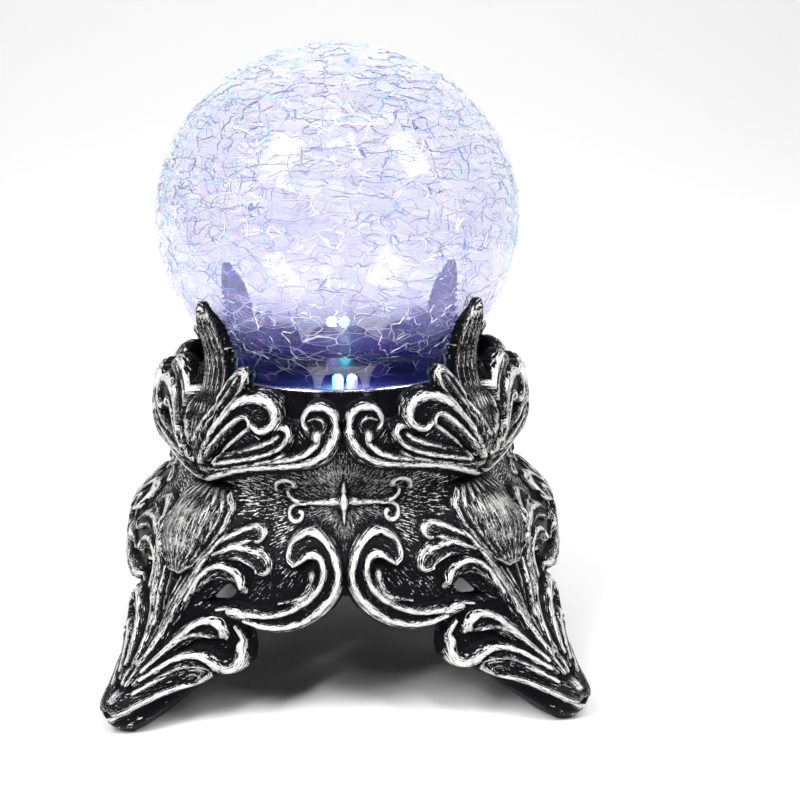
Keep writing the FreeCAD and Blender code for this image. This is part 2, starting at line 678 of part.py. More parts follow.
def make_knob():
    """Knob of the slide switch, at the end of its travel."""
    top = size("box_bottom") + size("box_wall") + 2.6
    tall = size("knob_drop") + 3.2
    knob = post("KnobStem", (bay_middle, 0), (size("knob"), size("knob")), top - tall, tall)
    grooves = [post(f"KnobGroove{number}", (bay_middle, step), (size("knob") + 1, 0.4),
                    top - size("knob_drop") - 3.6, 0.8) for number, step in enumerate((-0.8, 0.0, 0.8))]
    return cut("Knob", knob, fuse("KnobGrooves", grooves))


def make_wire(name, out, corners):
    """Insulated wire in an upright plane: straight runs joined by tangent arcs."""
    points = [FreeCAD.Vector(across.number, out.number, up.number) for across, up in corners]
    edges = []
    start = points[0]
    for before, corner, after in zip(points, points[1:], points[2:]):
        into, away = (corner - before), (after - corner)
        bend = 0.45 * min(into.Length, away.Length)
        first = corner - into.normalize() * bend
        last = corner + away.normalize() * bend
        middle = corner + (away - into).normalize() * (bend * (sqrt(2) - 1))
        edges += [Part.makeLine(start, first), Part.Arc(first, middle, last).toShape()]
        start = last
    edges.append(Part.makeLine(start, points[-1]))
    path = Part.Wire(edges)
    heading = points[1] - points[0]
    ring = Part.Wire(Part.makeCircle(size("wire").number, points[0], heading))
    thing = doc.addObject("Part::Feature", name)
    thing.Shape = path.makePipeShell([ring], True, False)
    expected = path.Length * 3.14159265 * size("wire").number ** 2
    if abs(thing.Shape.Volume / expected - 1) > 0.01:
        raise RuntimeError(f"{name} has the wrong volume")
    return thing


def make_wires():
    """Insulated wires: cell to switch, switch to board, and cell to board."""
    up, board, middle = size("wire_up"), size("board_bottom"), size("lamp_shift")
    terminal_top = size("box_bottom") + size("box_wall") + size("switch_tall") + 2
    switch_out = [size("knob_travel") * 0.5 + step for step in terminal_steps]
    return {
        "wire_link": make_wire("WireLink", switch_out[0], [
            (plate_face - 3, up), (bay_middle, up), (bay_middle, terminal_top)]),
        "wire_red": make_wire("WireRed", switch_out[2], [
            (bay_middle, terminal_top), (bay_middle, up), (middle + 6, up), (middle + 6, board)]),
        "wire_black": make_wire("WireBlack", -size("wire_side"), [
            (-plate_face - size("plate"), up), (middle - 8, up), (middle - 8, board)]),
    }


node("base_stand", make_base_stand())
node("crown", make_crown())
node("stack_screws", group("StackScrews", [
    screw(f"StackScrew{number}", across, out, web_bottom, size("stack_long"))
    for number, (across, out) in enumerate(stack_places)]))
node("globe_cup", make_cup())
node("globe_gasket", tube("Gasket", size("gasket_outer"), size("gasket_inner"),
                          size("ring_seat"), size("neck_bottom")))
node("globe", make_globe())
node("light_deck", make_deck())
node("led_board", make_board())
for name, across in zip(("led_lamp_cyan", "led_lamp_lavender"), lamp_places):
    node(name, make_lamp("Lamp" + name.title().replace("_", ""), across))
node("led_leads", make_leads())
node("board_chip", make_chip())
node("board_resistors", make_resistors())
node("board_screws", group("BoardScrews", [
    screw(f"BoardScrew{number}", across, 0, size("board_bottom"), 3.6, 0.66)
    for number, across in enumerate(board_ends)]))
node("battery_box", make_battery_box())
node("latch_bush", make_latch_bush())
node("box_screws", group("BoxScrews", [
    screw(f"BoxScrew{number}", across, out, web_bottom - size("lug_thick"), 7.4)
    for number, (across, out) in enumerate(lug_places)]))
for number, out in enumerate(cell_places):
    node(f"battery_{number + 1}", make_cell(number, out))
node("battery_springs", group("Springs", [
    make_spring(number, out) for number, out in enumerate(cell_places)]))
node("contact_plates", make_plates())
node("battery_door", make_door())
node("hinge_pin", make_hinge_pin())
node("door_screw", screw("DoorScrew", 0, -size("latch_out"),
                         size("box_bottom") - size("door_gap") - size("door"), 7.0))
node("switch_body", make_switch())
node("switch_knob", make_knob())
for name, wire in make_wires().items():
    node(name, wire)

doc.recompute()
for thing in doc.Objects:
    if any(state in ("Invalid", "Error") for state in thing.State):
        raise RuntimeError(f"{thing.Name} failed: {thing.State}")
os.makedirs("parts", exist_ok=True)
for thing in nodes:
    if thing.Shape.isNull() or not thing.Shape.isValid():
        raise RuntimeError(f"{thing.Label} has a bad shape")
    thing.Shape.exportStep(f"parts/{thing.Label}.step")
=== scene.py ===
from math import cos, pi, radians, sin

import bpy
import numpy as np
from mathutils import Matrix, Vector


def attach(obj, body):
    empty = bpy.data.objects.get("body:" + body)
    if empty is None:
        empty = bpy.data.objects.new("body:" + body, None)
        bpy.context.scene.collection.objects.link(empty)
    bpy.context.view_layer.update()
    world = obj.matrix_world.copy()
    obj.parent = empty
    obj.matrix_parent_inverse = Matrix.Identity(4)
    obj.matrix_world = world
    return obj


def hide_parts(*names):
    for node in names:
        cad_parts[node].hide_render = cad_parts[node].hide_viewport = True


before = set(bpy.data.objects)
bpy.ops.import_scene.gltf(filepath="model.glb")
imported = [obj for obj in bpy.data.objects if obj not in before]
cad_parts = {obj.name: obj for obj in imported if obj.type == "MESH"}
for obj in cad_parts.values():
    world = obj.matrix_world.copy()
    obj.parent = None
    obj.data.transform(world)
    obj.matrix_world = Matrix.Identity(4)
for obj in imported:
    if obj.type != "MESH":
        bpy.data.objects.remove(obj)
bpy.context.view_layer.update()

MM = 0.001
STAR_UP = 84.5                       # height of the four-pointed star on each face
GRID = 0.45   # spacing of the carved surfaces, mm


# ---------------------------------------------------------------- curves and fields

def smooth_line(points, steps=9):
    """Catmull-Rom curve through points that may carry extra columns, such as a width."""
    points = np.array(points, float)
    padded = np.vstack([points[0] * 2 - points[1], points, points[-1] * 2 - points[-2]])
    parts = []
    for before, start, stop, after in zip(padded, padded[1:], padded[2:], padded[3:]):
        along = np.linspace(0, 1, steps, endpoint=False)[:, None]
        parts.append(0.5 * (2 * start + (stop - before) * along
                            + (2 * before - 5 * start + 4 * stop - after) * along ** 2
                            + (3 * start - before - 3 * stop + after) * along ** 3))
    return np.vstack(parts + [points[-1:]])


def step(low, high, value):
    value = np.clip((value - low) / (high - low), 0, 1)
    return value * value * (3 - 2 * value)


def stroke_distance(across, up, line):
    """Distance to a line, its width there, the run along it and the signed side, at each grid point."""
    best = np.full(across.shape, 1e9)
    width, run, side = np.zeros_like(best), np.zeros_like(best), np.zeros_like(best)
    start_run = 0.0
    for start, stop in zip(line[:-1], line[1:]):
        move = stop[:2] - start[:2]
        length = np.hypot(*move)
        if length < 1e-6:
            continue
        share = np.clip(((across - start[0]) * move[0] + (up - start[1]) * move[1]) / length ** 2, 0, 1)
        off_across = across - start[0] - move[0] * share
        off_up = up - start[1] - move[1] * share
        distance = np.hypot(off_across, off_up)
        nearer = distance < best
        best = np.where(nearer, distance, best)
        width = np.where(nearer, start[2] + (stop[2] - start[2]) * share, width)
        run = np.where(nearer, start_run + length * share, run)
        side = np.where(nearer, np.sign(move[0] * off_up - move[1] * off_across) * distance, side)
        start_run += length
    return best, width, run, side


def region_depth(across, up, corners):
    """Depth inside a closed outline, negative outside it."""
    corners = np.array(corners, float)
    best = np.full(across.shape, 1e9)
    inside = np.zeros(across.shape, bool)
    for start, stop in zip(corners, np.roll(corners, -1, axis=0)):
        move = stop - start
        share = np.clip(((across - start[0]) * move[0] + (up - start[1]) * move[1]) / (move @ move), 0, 1)
        off_across = across - start[0] - move[0] * share
        off_up = up - start[1] - move[1] * share
        best = np.minimum(best, np.hypot(off_across, off_up))
        if start[1] != stop[1]:
            crosses = (start[1] > up) != (stop[1] > up)
            inside ^= crosses & (across < start[0] + (up - start[1]) / (stop[1] - start[1]) * move[0])
    return np.where(inside, best, -best)


def soften(field, spread):
    """Gaussian blur of a grid, by a spread in grid steps."""
    reach = int(spread * 3) + 1
    weights = np.exp(-0.5 * (np.arange(-reach, reach + 1) / spread) ** 2)
    weights /= weights.sum()
    for axis in (0, 1):
        padded = np.pad(field, [(reach, reach) if axis == side else (0, 0) for side in (0, 1)], mode="edge")
        field = np.apply_along_axis(lambda row: np.convolve(row, weights, "valid"), axis, padded)
    return field


# ---------------------------------------------------------------- the stand's ornament
# Every face of a tier is drawn once, flat: across from the face's middle and up from the ground,
# in millimetres. Each point of a stroke is (across, up, half width). The other half is its mirror.

BASE_BANDS = [   # raised bands under the ridges: points, height
    ([(44, 45.5, 2.6), (36, 44, 3.6), (26, 43.8, 4.6), (17, 47.2, 5.2), (9, 53.5, 5.4), (5.2, 61.5, 5.0),
      (8, 69.5, 5.0), (14.5, 71.5, 5.0), (19.5, 69, 4.4)], 2.6),
    ([(57, 68, 2.0), (48, 71.4, 3.0), (41, 73, 2.8), (37.5, 72.6, 2.4)], 2.2),
    ([(56, 63, 2.0), (47, 66.4, 2.8), (38, 66, 2.8), (32.6, 63, 2.6)], 2.4),
    ([(65, 44, 2.0), (60, 54, 2.6), (54, 59.6, 2.8), (47, 60.2, 2.6), (41.5, 56, 2.2)], 2.4),
    ([(69, 24, 3.0), (62, 33.5, 3.6), (55, 38.8, 4.0), (48.5, 38.4, 3.4)], 2.6),
    ([(69, 20, 3.0), (60, 26.8, 3.0), (52, 28, 3.0), (45, 25.4, 3.0), (40.4, 27, 3.4), (39.8, 33, 2.0)], 3.2),
    ([(71, 12, 3.4), (63, 17.5, 3.6), (54, 21.6, 3.6)], 2.6),
    ([(54, 72, 2.0), (60, 62, 3.0), (65, 50, 3.6), (69, 36, 3.6), (72, 20, 3.2)], 2.0),
]
BASE_RIDGES = [   # bright ridges: points, height
    ([(43, 46, 1.5), (36, 45.4, 1.1), (28, 46, 1.1), (20, 49, 1.2), (13.6, 53.4, 1.3), (9.4, 58.5, 1.3),
      (8, 63.6, 1.3), (9.6, 67.6, 1.3), (13.2, 68.8, 1.3), (17, 67, 1.1), (19.6, 65, 0.7)], 1.7),
    ([(38.5, 43.4, 0.8), (31, 41.6, 1.1), (23, 42.2, 1.2), (15, 45.3, 1.3), (8.5, 50.6, 1.4), (4, 56.6, 1.4),
      (2.7, 62.8, 1.4), (5, 69.4, 1.4), (10, 74, 1.4), (15.4, 75.2, 1.4), (20.4, 73.6, 1.4), (23, 70.4, 1.4),
      (22.6, 67, 1.3), (20, 65.2, 0.8)], 1.9),
    ([(12.6, 61.4, 2.0), (13.4, 58, 1.7), (16, 54.4, 1.2), (20.6, 51.6, 0.9), (26, 50, 0.5)], 1.6),
    ([(35, 39.6, 0.6), (27, 38.9, 0.8), (19, 40.8, 0.8), (11, 45.6, 0.8), (5, 51.6, 0.8),
      (1.4, 57.6, 0.7)], 0.9),
    ([(54, 69.4, 0.9), (47, 73.2, 1.0), (41, 75.4, 1.0), (37, 74.8, 1.0), (35.2, 72.6, 1.0),
      (37.2, 70.5, 0.9), (42, 70.5, 0.9), (49, 69, 0.8)], 1.2),
    ([(55, 65.6, 0.9), (47, 68.6, 1.1), (40, 68.8, 1.1), (34, 67.8, 1.6), (30.4, 65.2, 1.5), (30, 62.2, 1.1),
      (32.2, 60.6, 1.0), (35, 61.4, 0.7)], 1.5),
    ([(43, 65.6, 0.5), (38, 63.8, 0.8), (34.6, 61.6, 0.7)], 1.0),
    ([(62.6, 48, 0.9), (59.6, 55.6, 1.1), (55.4, 60.2, 1.2), (50, 62, 1.3), (45, 61, 1.3), (41.4, 58, 1.5),
      (40.2, 53.8, 1.6)], 1.5),
    ([(57, 54.4, 0.6), (51.4, 56.8, 0.8), (45.6, 56.4, 0.6)], 0.8),
    ([(51, 45.2, 0.5), (46, 46.2, 1.2), (42.2, 46.2, 1.9), (38, 45.2, 0.9)], 1.4),
    ([(69, 23, 0.9), (64.4, 30.8, 1.1), (60, 36.6, 1.3), (55.4, 41, 1.5), (50.4, 42.2, 1.6), (46.6, 40, 1.6),
      (45.6, 36, 1.5)], 1.8),
    ([(67, 26, 0.6), (61.6, 33.2, 0.8), (56, 36.6, 0.9), (51, 35.8, 0.8)], 1.0),
    ([(68, 20.6, 0.8), (61, 27.4, 1.0), (55, 29.8, 1.1), (50, 28.4, 1.2), (46, 25.6, 1.6), (42.4, 24.8, 2.2),
      (39.6, 27.2, 2.4), (38.8, 31, 1.9), (39.8, 36, 1.4), (42.6, 40, 0.7)], 2.0),
    ([(68, 16.4, 0.8), (61.4, 22.4, 1.0), (55.4, 25.2, 1.1), (51, 24.4, 1.1), (49.8, 21.6, 1.1),
      (52.6, 19.2, 1.0), (58.4, 17.6, 1.0), (63.4, 14.4, 1.1), (68.4, 9.6, 1.2), (73, 5.6, 1.2)], 1.5),
    ([(53, 71, 1.0), (58, 63.4, 1.1), (62.6, 54, 1.1), (66.4, 44, 1.1), (69.6, 33, 1.0), (71.6, 23, 0.9),
      (72.6, 13, 0.8)], 1.3),
    ([(58.4, 66, 0.7), (63.4, 56, 0.8), (67.4, 46, 0.8), (70.4, 35, 0.8), (72.4, 24, 0.8)], 0.9),
    ([(66.4, 55.6, 0.6), (69, 47, 0.7), (71.4, 36, 0.7)], 0.8),
    ([(70, 54, 0.6), (71.6, 46, 0.7), (73, 36, 0.7), (73, 24, 0.6)], 0.8),
    ([(-7, 84.5, 1.4), (0, 84.5, 2.8), (4, 84.5, 1.8), (9, 84.2, 1.2), (14, 84, 0.8), (18, 84, 0.8),
      (23.4, 84.5, 0.9), (26.8, 86.2, 1.0), (28.2, 89, 1.0)], 1.5),
    ([(18, 83.8, 0.6), (23.4, 83.2, 0.9), (26.3, 81.4, 1.0), (26, 78.8, 1.0), (23.2, 77.4, 1.0),
      (20.4, 78.2, 1.0), (20, 80.2, 1.2), (21.4, 80.6, 0.9)], 1.5),
    ([(0, 77, 0.4), (0, 81, 1.2), (0, 84.5, 2.2), (0, 88.4, 1.1), (0, 92, 0.5)], 1.9),
]
BULB_EDGE_RIDGE = [(70, 55.6, 0.7), (64, 60, 0.9), (58, 67.4, 1.0), (55, 75, 1.1), (55.4, 80.6, 1.2),
                   (58.6, 84.6, 0.9)]
BULB_EDGE = [(70.5, 55), (66, 58), (60, 64), (56, 70.6), (54.4, 77), (56, 82), (60, 85.4)]
BASE_OUTLINE = [(-2, 52.5), (1.2, 53), (3.4, 49.6), (9.5, 44.2), (16, 40.2), (22.5, 38.2), (28.5, 37.9),
                (34, 38.9), (37.6, 41.2), (38.6, 39.6), (37.0, 35), (36.4, 30), (37.4, 25.6), (40.4, 22.7),
                (44.4, 22.7), (47.4, 24.2), (49.2, 24.6), (48.4, 21.8), (49.8, 19), (54, 16.6), (59.4, 11.8),
                (63.6, 6.8), (66.8, 2.6), (69, 0.2), (73, 0), (80, 0), (80, 96), (-2, 96)]
BASE_EYES = [[(57.6, 46.4), (54.6, 49.6), (51, 53.2), (47.6, 54.4), (45.4, 52.4), (46, 49.6), (50.6, 47.2)]]
BASE_LEAF = BULB_EDGE + [(66, 86.4), (80, 86.4), (80, 54)]

CROWN_BANDS = [
    ([(8.6, 116.6, 7.0), (8.4, 116, 7.0)], 2.2),
    ([(3.4, 112, 3.4), (7, 106, 4.4), (13.4, 102.6, 4.2), (24, 100.6, 3.6), (38, 98.6, 3.4), (50, 95, 3.2),
      (60, 91, 3.0)], 3.0),
    ([(22.4, 111.6, 3.6), (28, 106.6, 3.8), (38, 102.4, 3.4), (50, 98, 3.0)], 2.4),
    ([(31, 118.8, 6.9), (31.6, 118, 6.9)], 2.4),
    ([(32, 121.6, 4.2), (41, 119.6, 4.6), (49, 111, 4.2), (56, 101, 3.6)], 2.8),
    ([(41.4, 131, 2.8), (45.4, 127, 3.8), (51.6, 117, 4.4), (57, 106, 4.0)], 2.4),
]
CROWN_RIDGES = [
    ([(13.2, 114.6, 0.7), (14.8, 117, 1.1), (14.2, 120, 1.3), (11.2, 122.4, 1.5), (7, 122.6, 1.6),
      (3.6, 120.6, 1.7), (2.2, 117, 1.8), (2.8, 113, 1.8), (5, 108, 1.7), (9, 103.8, 1.5), (14.6, 101.3, 1.4),
      (22, 99.9, 1.3), (32, 98.4, 1.3), (42, 96, 1.3), (50, 92.9, 1.4), (57, 89.8, 1.4), (62, 88, 1.2)], 2.0),
    ([(9.2, 112.4, 2.0), (10, 109.4, 1.7), (13, 105.7, 1.3), (18, 103.2, 1.0), (24.4, 101.8, 0.8),
      (33, 100.3, 0.5)], 1.6),
    ([(12.8, 117.4, 0.5), (9.6, 118.4, 0.9), (6.6, 116.4, 0.9), (7, 113.4, 0.6)], 0.8),
    ([(52, 97.4, 0.9), (40, 100.6, 1.0), (31, 103.2, 1.0), (25, 105.8, 1.0), (21.2, 109, 1.2),
      (20, 112.8, 1.4), (22.4, 115, 1.4), (27, 114.2, 0.8)], 1.5),
    ([(52, 94.8, 0.5), (40, 98.2, 0.7), (30, 100.9, 0.8), (24.4, 103.4, 0.9), (20.4, 107, 1.0),
      (18.6, 111, 1.0)], 1.0),
    ([(38, 104.6, 0.5), (31, 107, 0.8), (26.4, 109.4, 1.0), (24.2, 111.2, 1.2)], 1.1),
    ([(59, 97, 1.1), (55.6, 103, 1.2), (51, 111, 1.3), (46, 118, 1.5), (40.6, 122.8, 1.8), (34.6, 125, 2.2),
      (29, 124.4, 2.6), (25.4, 121.2, 2.8), (24.8, 117.2, 2.6), (27.4, 113.8, 2.0), (31.4, 112.6, 1.4),
      (34.2, 114.4, 0.9)], 2.1),
    ([(57, 98, 0.8), (51.6, 105, 0.9), (46.4, 111.4, 0.9), (41.6, 116, 1.0), (38, 117.2, 1.0),
      (35.8, 115.8, 1.0), (37, 113, 0.9), (41, 109.8, 0.9), (46.4, 104.8, 0.8), (52, 98.4, 0.7)], 1.3),
    ([(60, 106, 0.8), (56.4, 114, 0.9), (52.6, 121.6, 1.0), (48.8, 128, 1.2), (44.8, 132.4, 1.3),
      (40.8, 134, 1.2), (39, 132, 1.1), (40.6, 127.4, 0.9), (45, 121, 0.8), (50.6, 112, 0.7)], 1.4),
    ([(59, 104, 0.5), (54.6, 113.4, 0.7), (49.6, 121.6, 0.8), (45, 128.2, 0.7), (42.4, 131.4, 0.5)], 0.8),
    ([(27.6, 87, 1.0), (28.2, 89, 1.0), (26.9, 91.6, 1.0), (23.6, 92.7, 1.0), (20.6, 92, 1.0),
      (20.2, 90.4, 1.2)], 1.5),
    ([(0, 84.5, 2.0), (0, 88.4, 1.1), (0, 92, 0.5)], 1.9),
]
CORNER = 61.26                     # where the crown's corner lies, across from the face's middle
CLAW_HALF = [(88, 2), (96, 5), (106, 8.5), (118, 9.4), (125, 9), (134, 8.4), (140, 7.6), (148, 6.2),
             (153, 4.4), (157, 2), (158.3, 0.4)]   # up, half width of the claw
CLAW_EDGE = [(CORNER - half, up) for up, half in CLAW_HALF]
CROWN_OUTLINE = [(-2, 80), (80, 80), (80, 158.3)] + CLAW_EDGE[:4:-1] + [
    (50.6, 126.4), (46, 131), (41, 134), (38.8, 131), (38.6, 126.6), (33, 126.4), (27.6, 125.6), (23.4, 122),
    (21.8, 117.4), (20.6, 115.6), (17.6, 115), (16.2, 116), (14, 119.6), (10, 123), (7, 123), (2.6, 121),
    (0.5, 115.6), (-2, 115.6)]
CROWN_CLAW = CLAW_EDGE + [(80, 158.3), (80, 88)]


GROUND_SILVER, BAND_SILVER = 0.19, 0.24   # how much paint the flat ground and the bands take
CREST_SILVER = (0.20, 0.66)               # least and most paint on a ridge, from its foot to its crest
SUNBURST = 22.0                           # spacing of the grain that fans out from the star
BAND_EDGE, LEAF_EDGE = 1.6, 7.0           # how far in the rounded edge of a band and of a leaf reaches, mm
MOST_RELIEF = 4.4                         # tallest carving above the face, mm
OUTLINE_ROUNDING = 1.3                    # rounding where a face meets its own outline, mm
FACE_THICK, LEAST_THICK = 4.0, 1.2        # wall at the middle of a face, and the thinnest wall, mm


def leaf_ribs(edge, corner, shares, half_width):
    """Long ribs down a claw or a leaf, each at one share of the way from its middle to its edge."""
    ends = (edge[0][1], edge[-1][1])
    return [[(corner - (corner - across) * share, up, half_width * (0.6 if up in ends else 1.0))
             for across, up in edge] for share in shares]


def heights(table, up):
    """Radius at each height, from a short profile of (up, radius) points."""
    line = smooth_line(table, 6)
    order = np.argsort(line[:, 0])
    return np.interp(up, line[order, 0], line[order, 1])


class Tier:
    """One tier of the stand: how it is drawn and how it lies on the round."""

    def __init__(self, name, reach, span, profiles, corner_from, strokes, outline, eyes, leaf, claw=None):
        self.name, self.reach, self.corner_from = name, reach, corner_from
        self.low, self.high = span
        self.face, self.corner, self.inner_corner = profiles
        self.bands, self.ridges = strokes
        self.outline, self.eyes, self.claw = outline, eyes, claw
        self.leaf, self.leaf_swell, self.leaf_silver = leaf


def rounded(share):
    """Quarter-round rise from 0 to 1 as the share goes from 0 to 1."""
    return np.sqrt(np.clip(1 - (1 - np.clip(share, 0, 1)) ** 2, 0, 1))


def carve(tier):
    """Grid of one half face: where it is, its depth inside the outline, relief, silver and grain."""
    edge = tier.reach * pi / 4
    columns = int(round(edge / GRID))
    rows = int(round((tier.high - tier.low) / GRID))
    across, up = np.meshgrid(np.linspace(0, edge, columns + 1), np.linspace(tier.low, tier.high, rows + 1))
    depth = region_depth(across, up, tier.outline)
    relief = np.zeros_like(across)
    from_star = np.hypot(across, up - STAR_UP)
    silver = GROUND_SILVER + 0.16 * step(64, 76, up)
    grain_run, grain_side = from_star, np.arctan2(across, up - STAR_UP) * SUNBURST
    for points, height in tier.bands:
        distance, width, run, side = stroke_distance(across, up, smooth_line(points))
        edge_in = width - distance
        relief = np.maximum(relief, height * rounded(edge_in / BAND_EDGE))
        silver = np.where(edge_in > 0, BAND_SILVER, silver)
        depth = np.maximum(depth, edge_in)
        grain_run = np.where(edge_in > 0, run, grain_run)
        grain_side = np.where(edge_in > 0, side, grain_side)
    leaf_in = region_depth(across, up, tier.leaf)
    on_leaf = leaf_in > 0
    relief = np.where(on_leaf, rounded(leaf_in / LEAF_EDGE) * tier.leaf_swell, relief)
    silver = np.where(on_leaf, CREST_SILVER[0] + tier.leaf_silver * step(1.5, 8.5, leaf_in), silver)
    grain_run = np.where(on_leaf, up * 0.6, grain_run)
    grain_side = np.where(on_leaf, across * 0.7, grain_side)
    for points, height in tier.ridges:
        distance, width, run, side = stroke_distance(across, up, smooth_line(points))
        share = np.clip(1 - (distance / (width * 1.15)) ** 2, 0, 1)
        relief = np.where(share > 0, relief + height * np.sqrt(share), relief)
        crest = min(0.30 + height * 0.19, CREST_SILVER[1])
        shine = CREST_SILVER[0] + (crest - CREST_SILVER[0]) * share ** 2.6
        near = share > 0.02
        silver = np.where(near, np.maximum(silver * 0.5, shine), silver)
        grain_run = np.where(near, run, grain_run)
        grain_side = np.where(near, side, grain_side)
        depth = np.maximum(depth, width - distance)
    for eye in tier.eyes:
        depth = np.minimum(depth, -region_depth(across, up, eye))
    return across, up, depth, np.minimum(relief, MOST_RELIEF), silver, grain_run, grain_side, leaf_in


def tier_surface(tier):
    """Mesh arrays of one face of a tier, mirrored about its middle and closed all round."""
    across, up, depth, relief, silver, grain_run, grain_side, leaf_in = carve(tier)
    edge = tier.reach * pi / 4
    start = np.interp(up, *zip(*tier.corner_from))
    lean = step(0, 1, (across - start) / (edge - start))
    face, corner = heights(tier.face, up), heights(tier.corner, up)
    inner = heights(tier.inner_corner, up)
    ground = face + (corner - face) * lean
    back = (face - FACE_THICK) + (inner - face + FACE_THICK) * lean
    drop = OUTLINE_ROUNDING * (1 - rounded(depth / OUTLINE_ROUNDING))
    front = ground + relief * (1 - 0.7 * step(12, 2, up)) - drop * 1.6
    if tier.claw:
        half = np.interp(up, *zip(*tier.claw))
        share = np.clip(leaf_in / (half * 0.95), 0, 1)
        round_claw = inner + (corner - inner) * rounded(share) + relief * share
        front += (round_claw - front) * step(114, 127, up) * (leaf_in > 0)
    fine = relief - soften(relief, 1.5 / GRID)
    silver = np.clip(silver + np.clip(fine * 0.30, -0.25, 0.2), 0, 1)
    fields = [np.hstack([grid[:, :0:-1], grid])
              for grid in (depth, front, back, silver, grain_run, grain_side, up)]
    sides = np.hstack([-across[:, :0:-1], across])
    return [sides] + fields


def closed_mesh(tier, fields):
    """Closed shell from the grid, its outline snapped to where the depth is nought."""
    sides, depth, front, back, silver, grain_run, grain_side, up = fields
    rows, columns = depth.shape
    slope_up, slope_side = np.gradient(depth, GRID)
    steep = np.maximum(slope_up ** 2 + slope_side ** 2, 0.25)
    snap = 0.62 * GRID
    kept = depth > -snap
    near = np.abs(depth) < snap
    move_side = np.where(near, -depth * slope_side / steep, 0)
    move_up = np.where(near, -depth * slope_up / steep, 0)
    move_side[:, 0] = move_side[:, -1] = 0
    move_up[0, :] = move_up[-1, :] = 0
    sides_at, up_at = sides + move_side, up + move_up
    index = np.arange(rows * columns).reshape(rows, columns)
    corners = np.stack([index[:-1, :-1], index[:-1, 1:], index[1:, 1:], index[1:, :-1]], axis=-1)
    corners = corners.reshape(-1, 4)
    held = kept.reshape(-1)[corners]
    count = held.sum(axis=1)
    quads = corners[count == 4]
    three = corners[count == 3]
    missing = np.argmin(held[count == 3], axis=1)
    each = np.arange(len(three))
    triangles = np.stack([three[each, (missing + turn) % 4] for turn in (1, 2, 3)], axis=-1)
    edges = {}
    for face in (quads, triangles):
        for turn in range(face.shape[1]):
            for start, stop in zip(face[:, turn], face[:, (turn + 1) % face.shape[1]]):
                if (stop, start) in edges:
                    del edges[(stop, start)]
                else:
                    edges[(start, stop)] = True
    used = np.unique(np.concatenate([quads.reshape(-1), triangles.reshape(-1)]))
    renumber = np.full(rows * columns, -1)
    renumber[used] = np.arange(len(used))

    def on_round(radius):
        angle = sides_at.reshape(-1)[used] / tier.reach
        radius = radius.reshape(-1)[used]
        return np.stack([radius * np.sin(angle), -radius * np.cos(angle), up_at.reshape(-1)[used]], axis=-1)

    half = len(used)
    points = np.vstack([on_round(front), on_round(np.minimum(back, front - LEAST_THICK))])
    rim = np.array(list(edges))
    faces = [renumber[quads], renumber[triangles], renumber[quads][:, ::-1] + half,
             renumber[triangles][:, ::-1] + half]
    walls = np.stack([renumber[rim[:, 1]], renumber[rim[:, 0]], renumber[rim[:, 0]] + half,
                      renumber[rim[:, 1]] + half], axis=-1)
    faces.append(walls)
    marks = {
        "silver": np.concatenate([silver.reshape(-1)[used], np.full(half, 0.0)]),
        "grain_run": np.tile(grain_run.reshape(-1)[used], 2),
        "grain_side": np.tile(grain_side.reshape(-1)[used], 2),
    }
    return points, faces, marks


def mesh_object(name, points, faces, marks=None, turn=0.0, smooth=True):
    """Blender object from point and face arrays in millimetres."""
    mesh = bpy.data.meshes.new(name)
    sizes = np.concatenate([np.full(len(face), face.shape[1]) for face in faces])
    loops = np.concatenate([face.reshape(-1) for face in faces])
    mesh.vertices.add(len(points))
    mesh.vertices.foreach_set("co", (points * MM).astype(np.float32).reshape(-1))
    mesh.loops.add(len(loops))
    mesh.loops.foreach_set("vertex_index", loops.astype(np.int32))
    mesh.polygons.add(len(sizes))
    mesh.polygons.foreach_set("loop_start", np.concatenate([[0], np.cumsum(sizes)[:-1]]).astype(np.int32))
    mesh.update(calc_edges=True)
    for mark, values in (marks or {}).items():
        layer = mesh.attributes.new(mark, "FLOAT", "POINT")
        layer.data.foreach_set("value", values.astype(np.float32))
    mesh.polygons.foreach_set("use_smooth", [smooth] * len(sizes))
    mesh.transform(Matrix.Rotation(turn, 4, "Z"))
    mesh.validate()
    thing = bpy.data.objects.new(name, mesh)
    bpy.context.scene.collection.objects.link(thing)
    return thing


def lathe(name, outline, steps):
    """Closed solid of revolution from (radius, up) corners, which go round anticlockwise."""
    outline = np.array(outline, float)
    angles = np.arange(steps) * 2 * pi / steps
    points = np.stack([np.outer(outline[:, 0], np.cos(angles)), np.outer(outline[:, 0], np.sin(angles)),
                       np.repeat(outline[:, 1:2], steps, axis=1)], axis=-1).reshape(-1, 3)
    count = len(outline)
    ring, spoke = np.meshgrid(np.arange(count), np.arange(steps), indexing="ij")
    ring, spoke = ring.reshape(-1), spoke.reshape(-1)
    after_ring, after_spoke = (ring + 1) % count, (spoke + 1) % steps
    faces = [np.stack([ring * steps + spoke, ring * steps + after_spoke, after_ring * steps + after_spoke,
                       after_ring * steps + spoke], axis=-1)]
    return mesh_object(name, points, faces)


# ---------------------------------------------------------------- materials

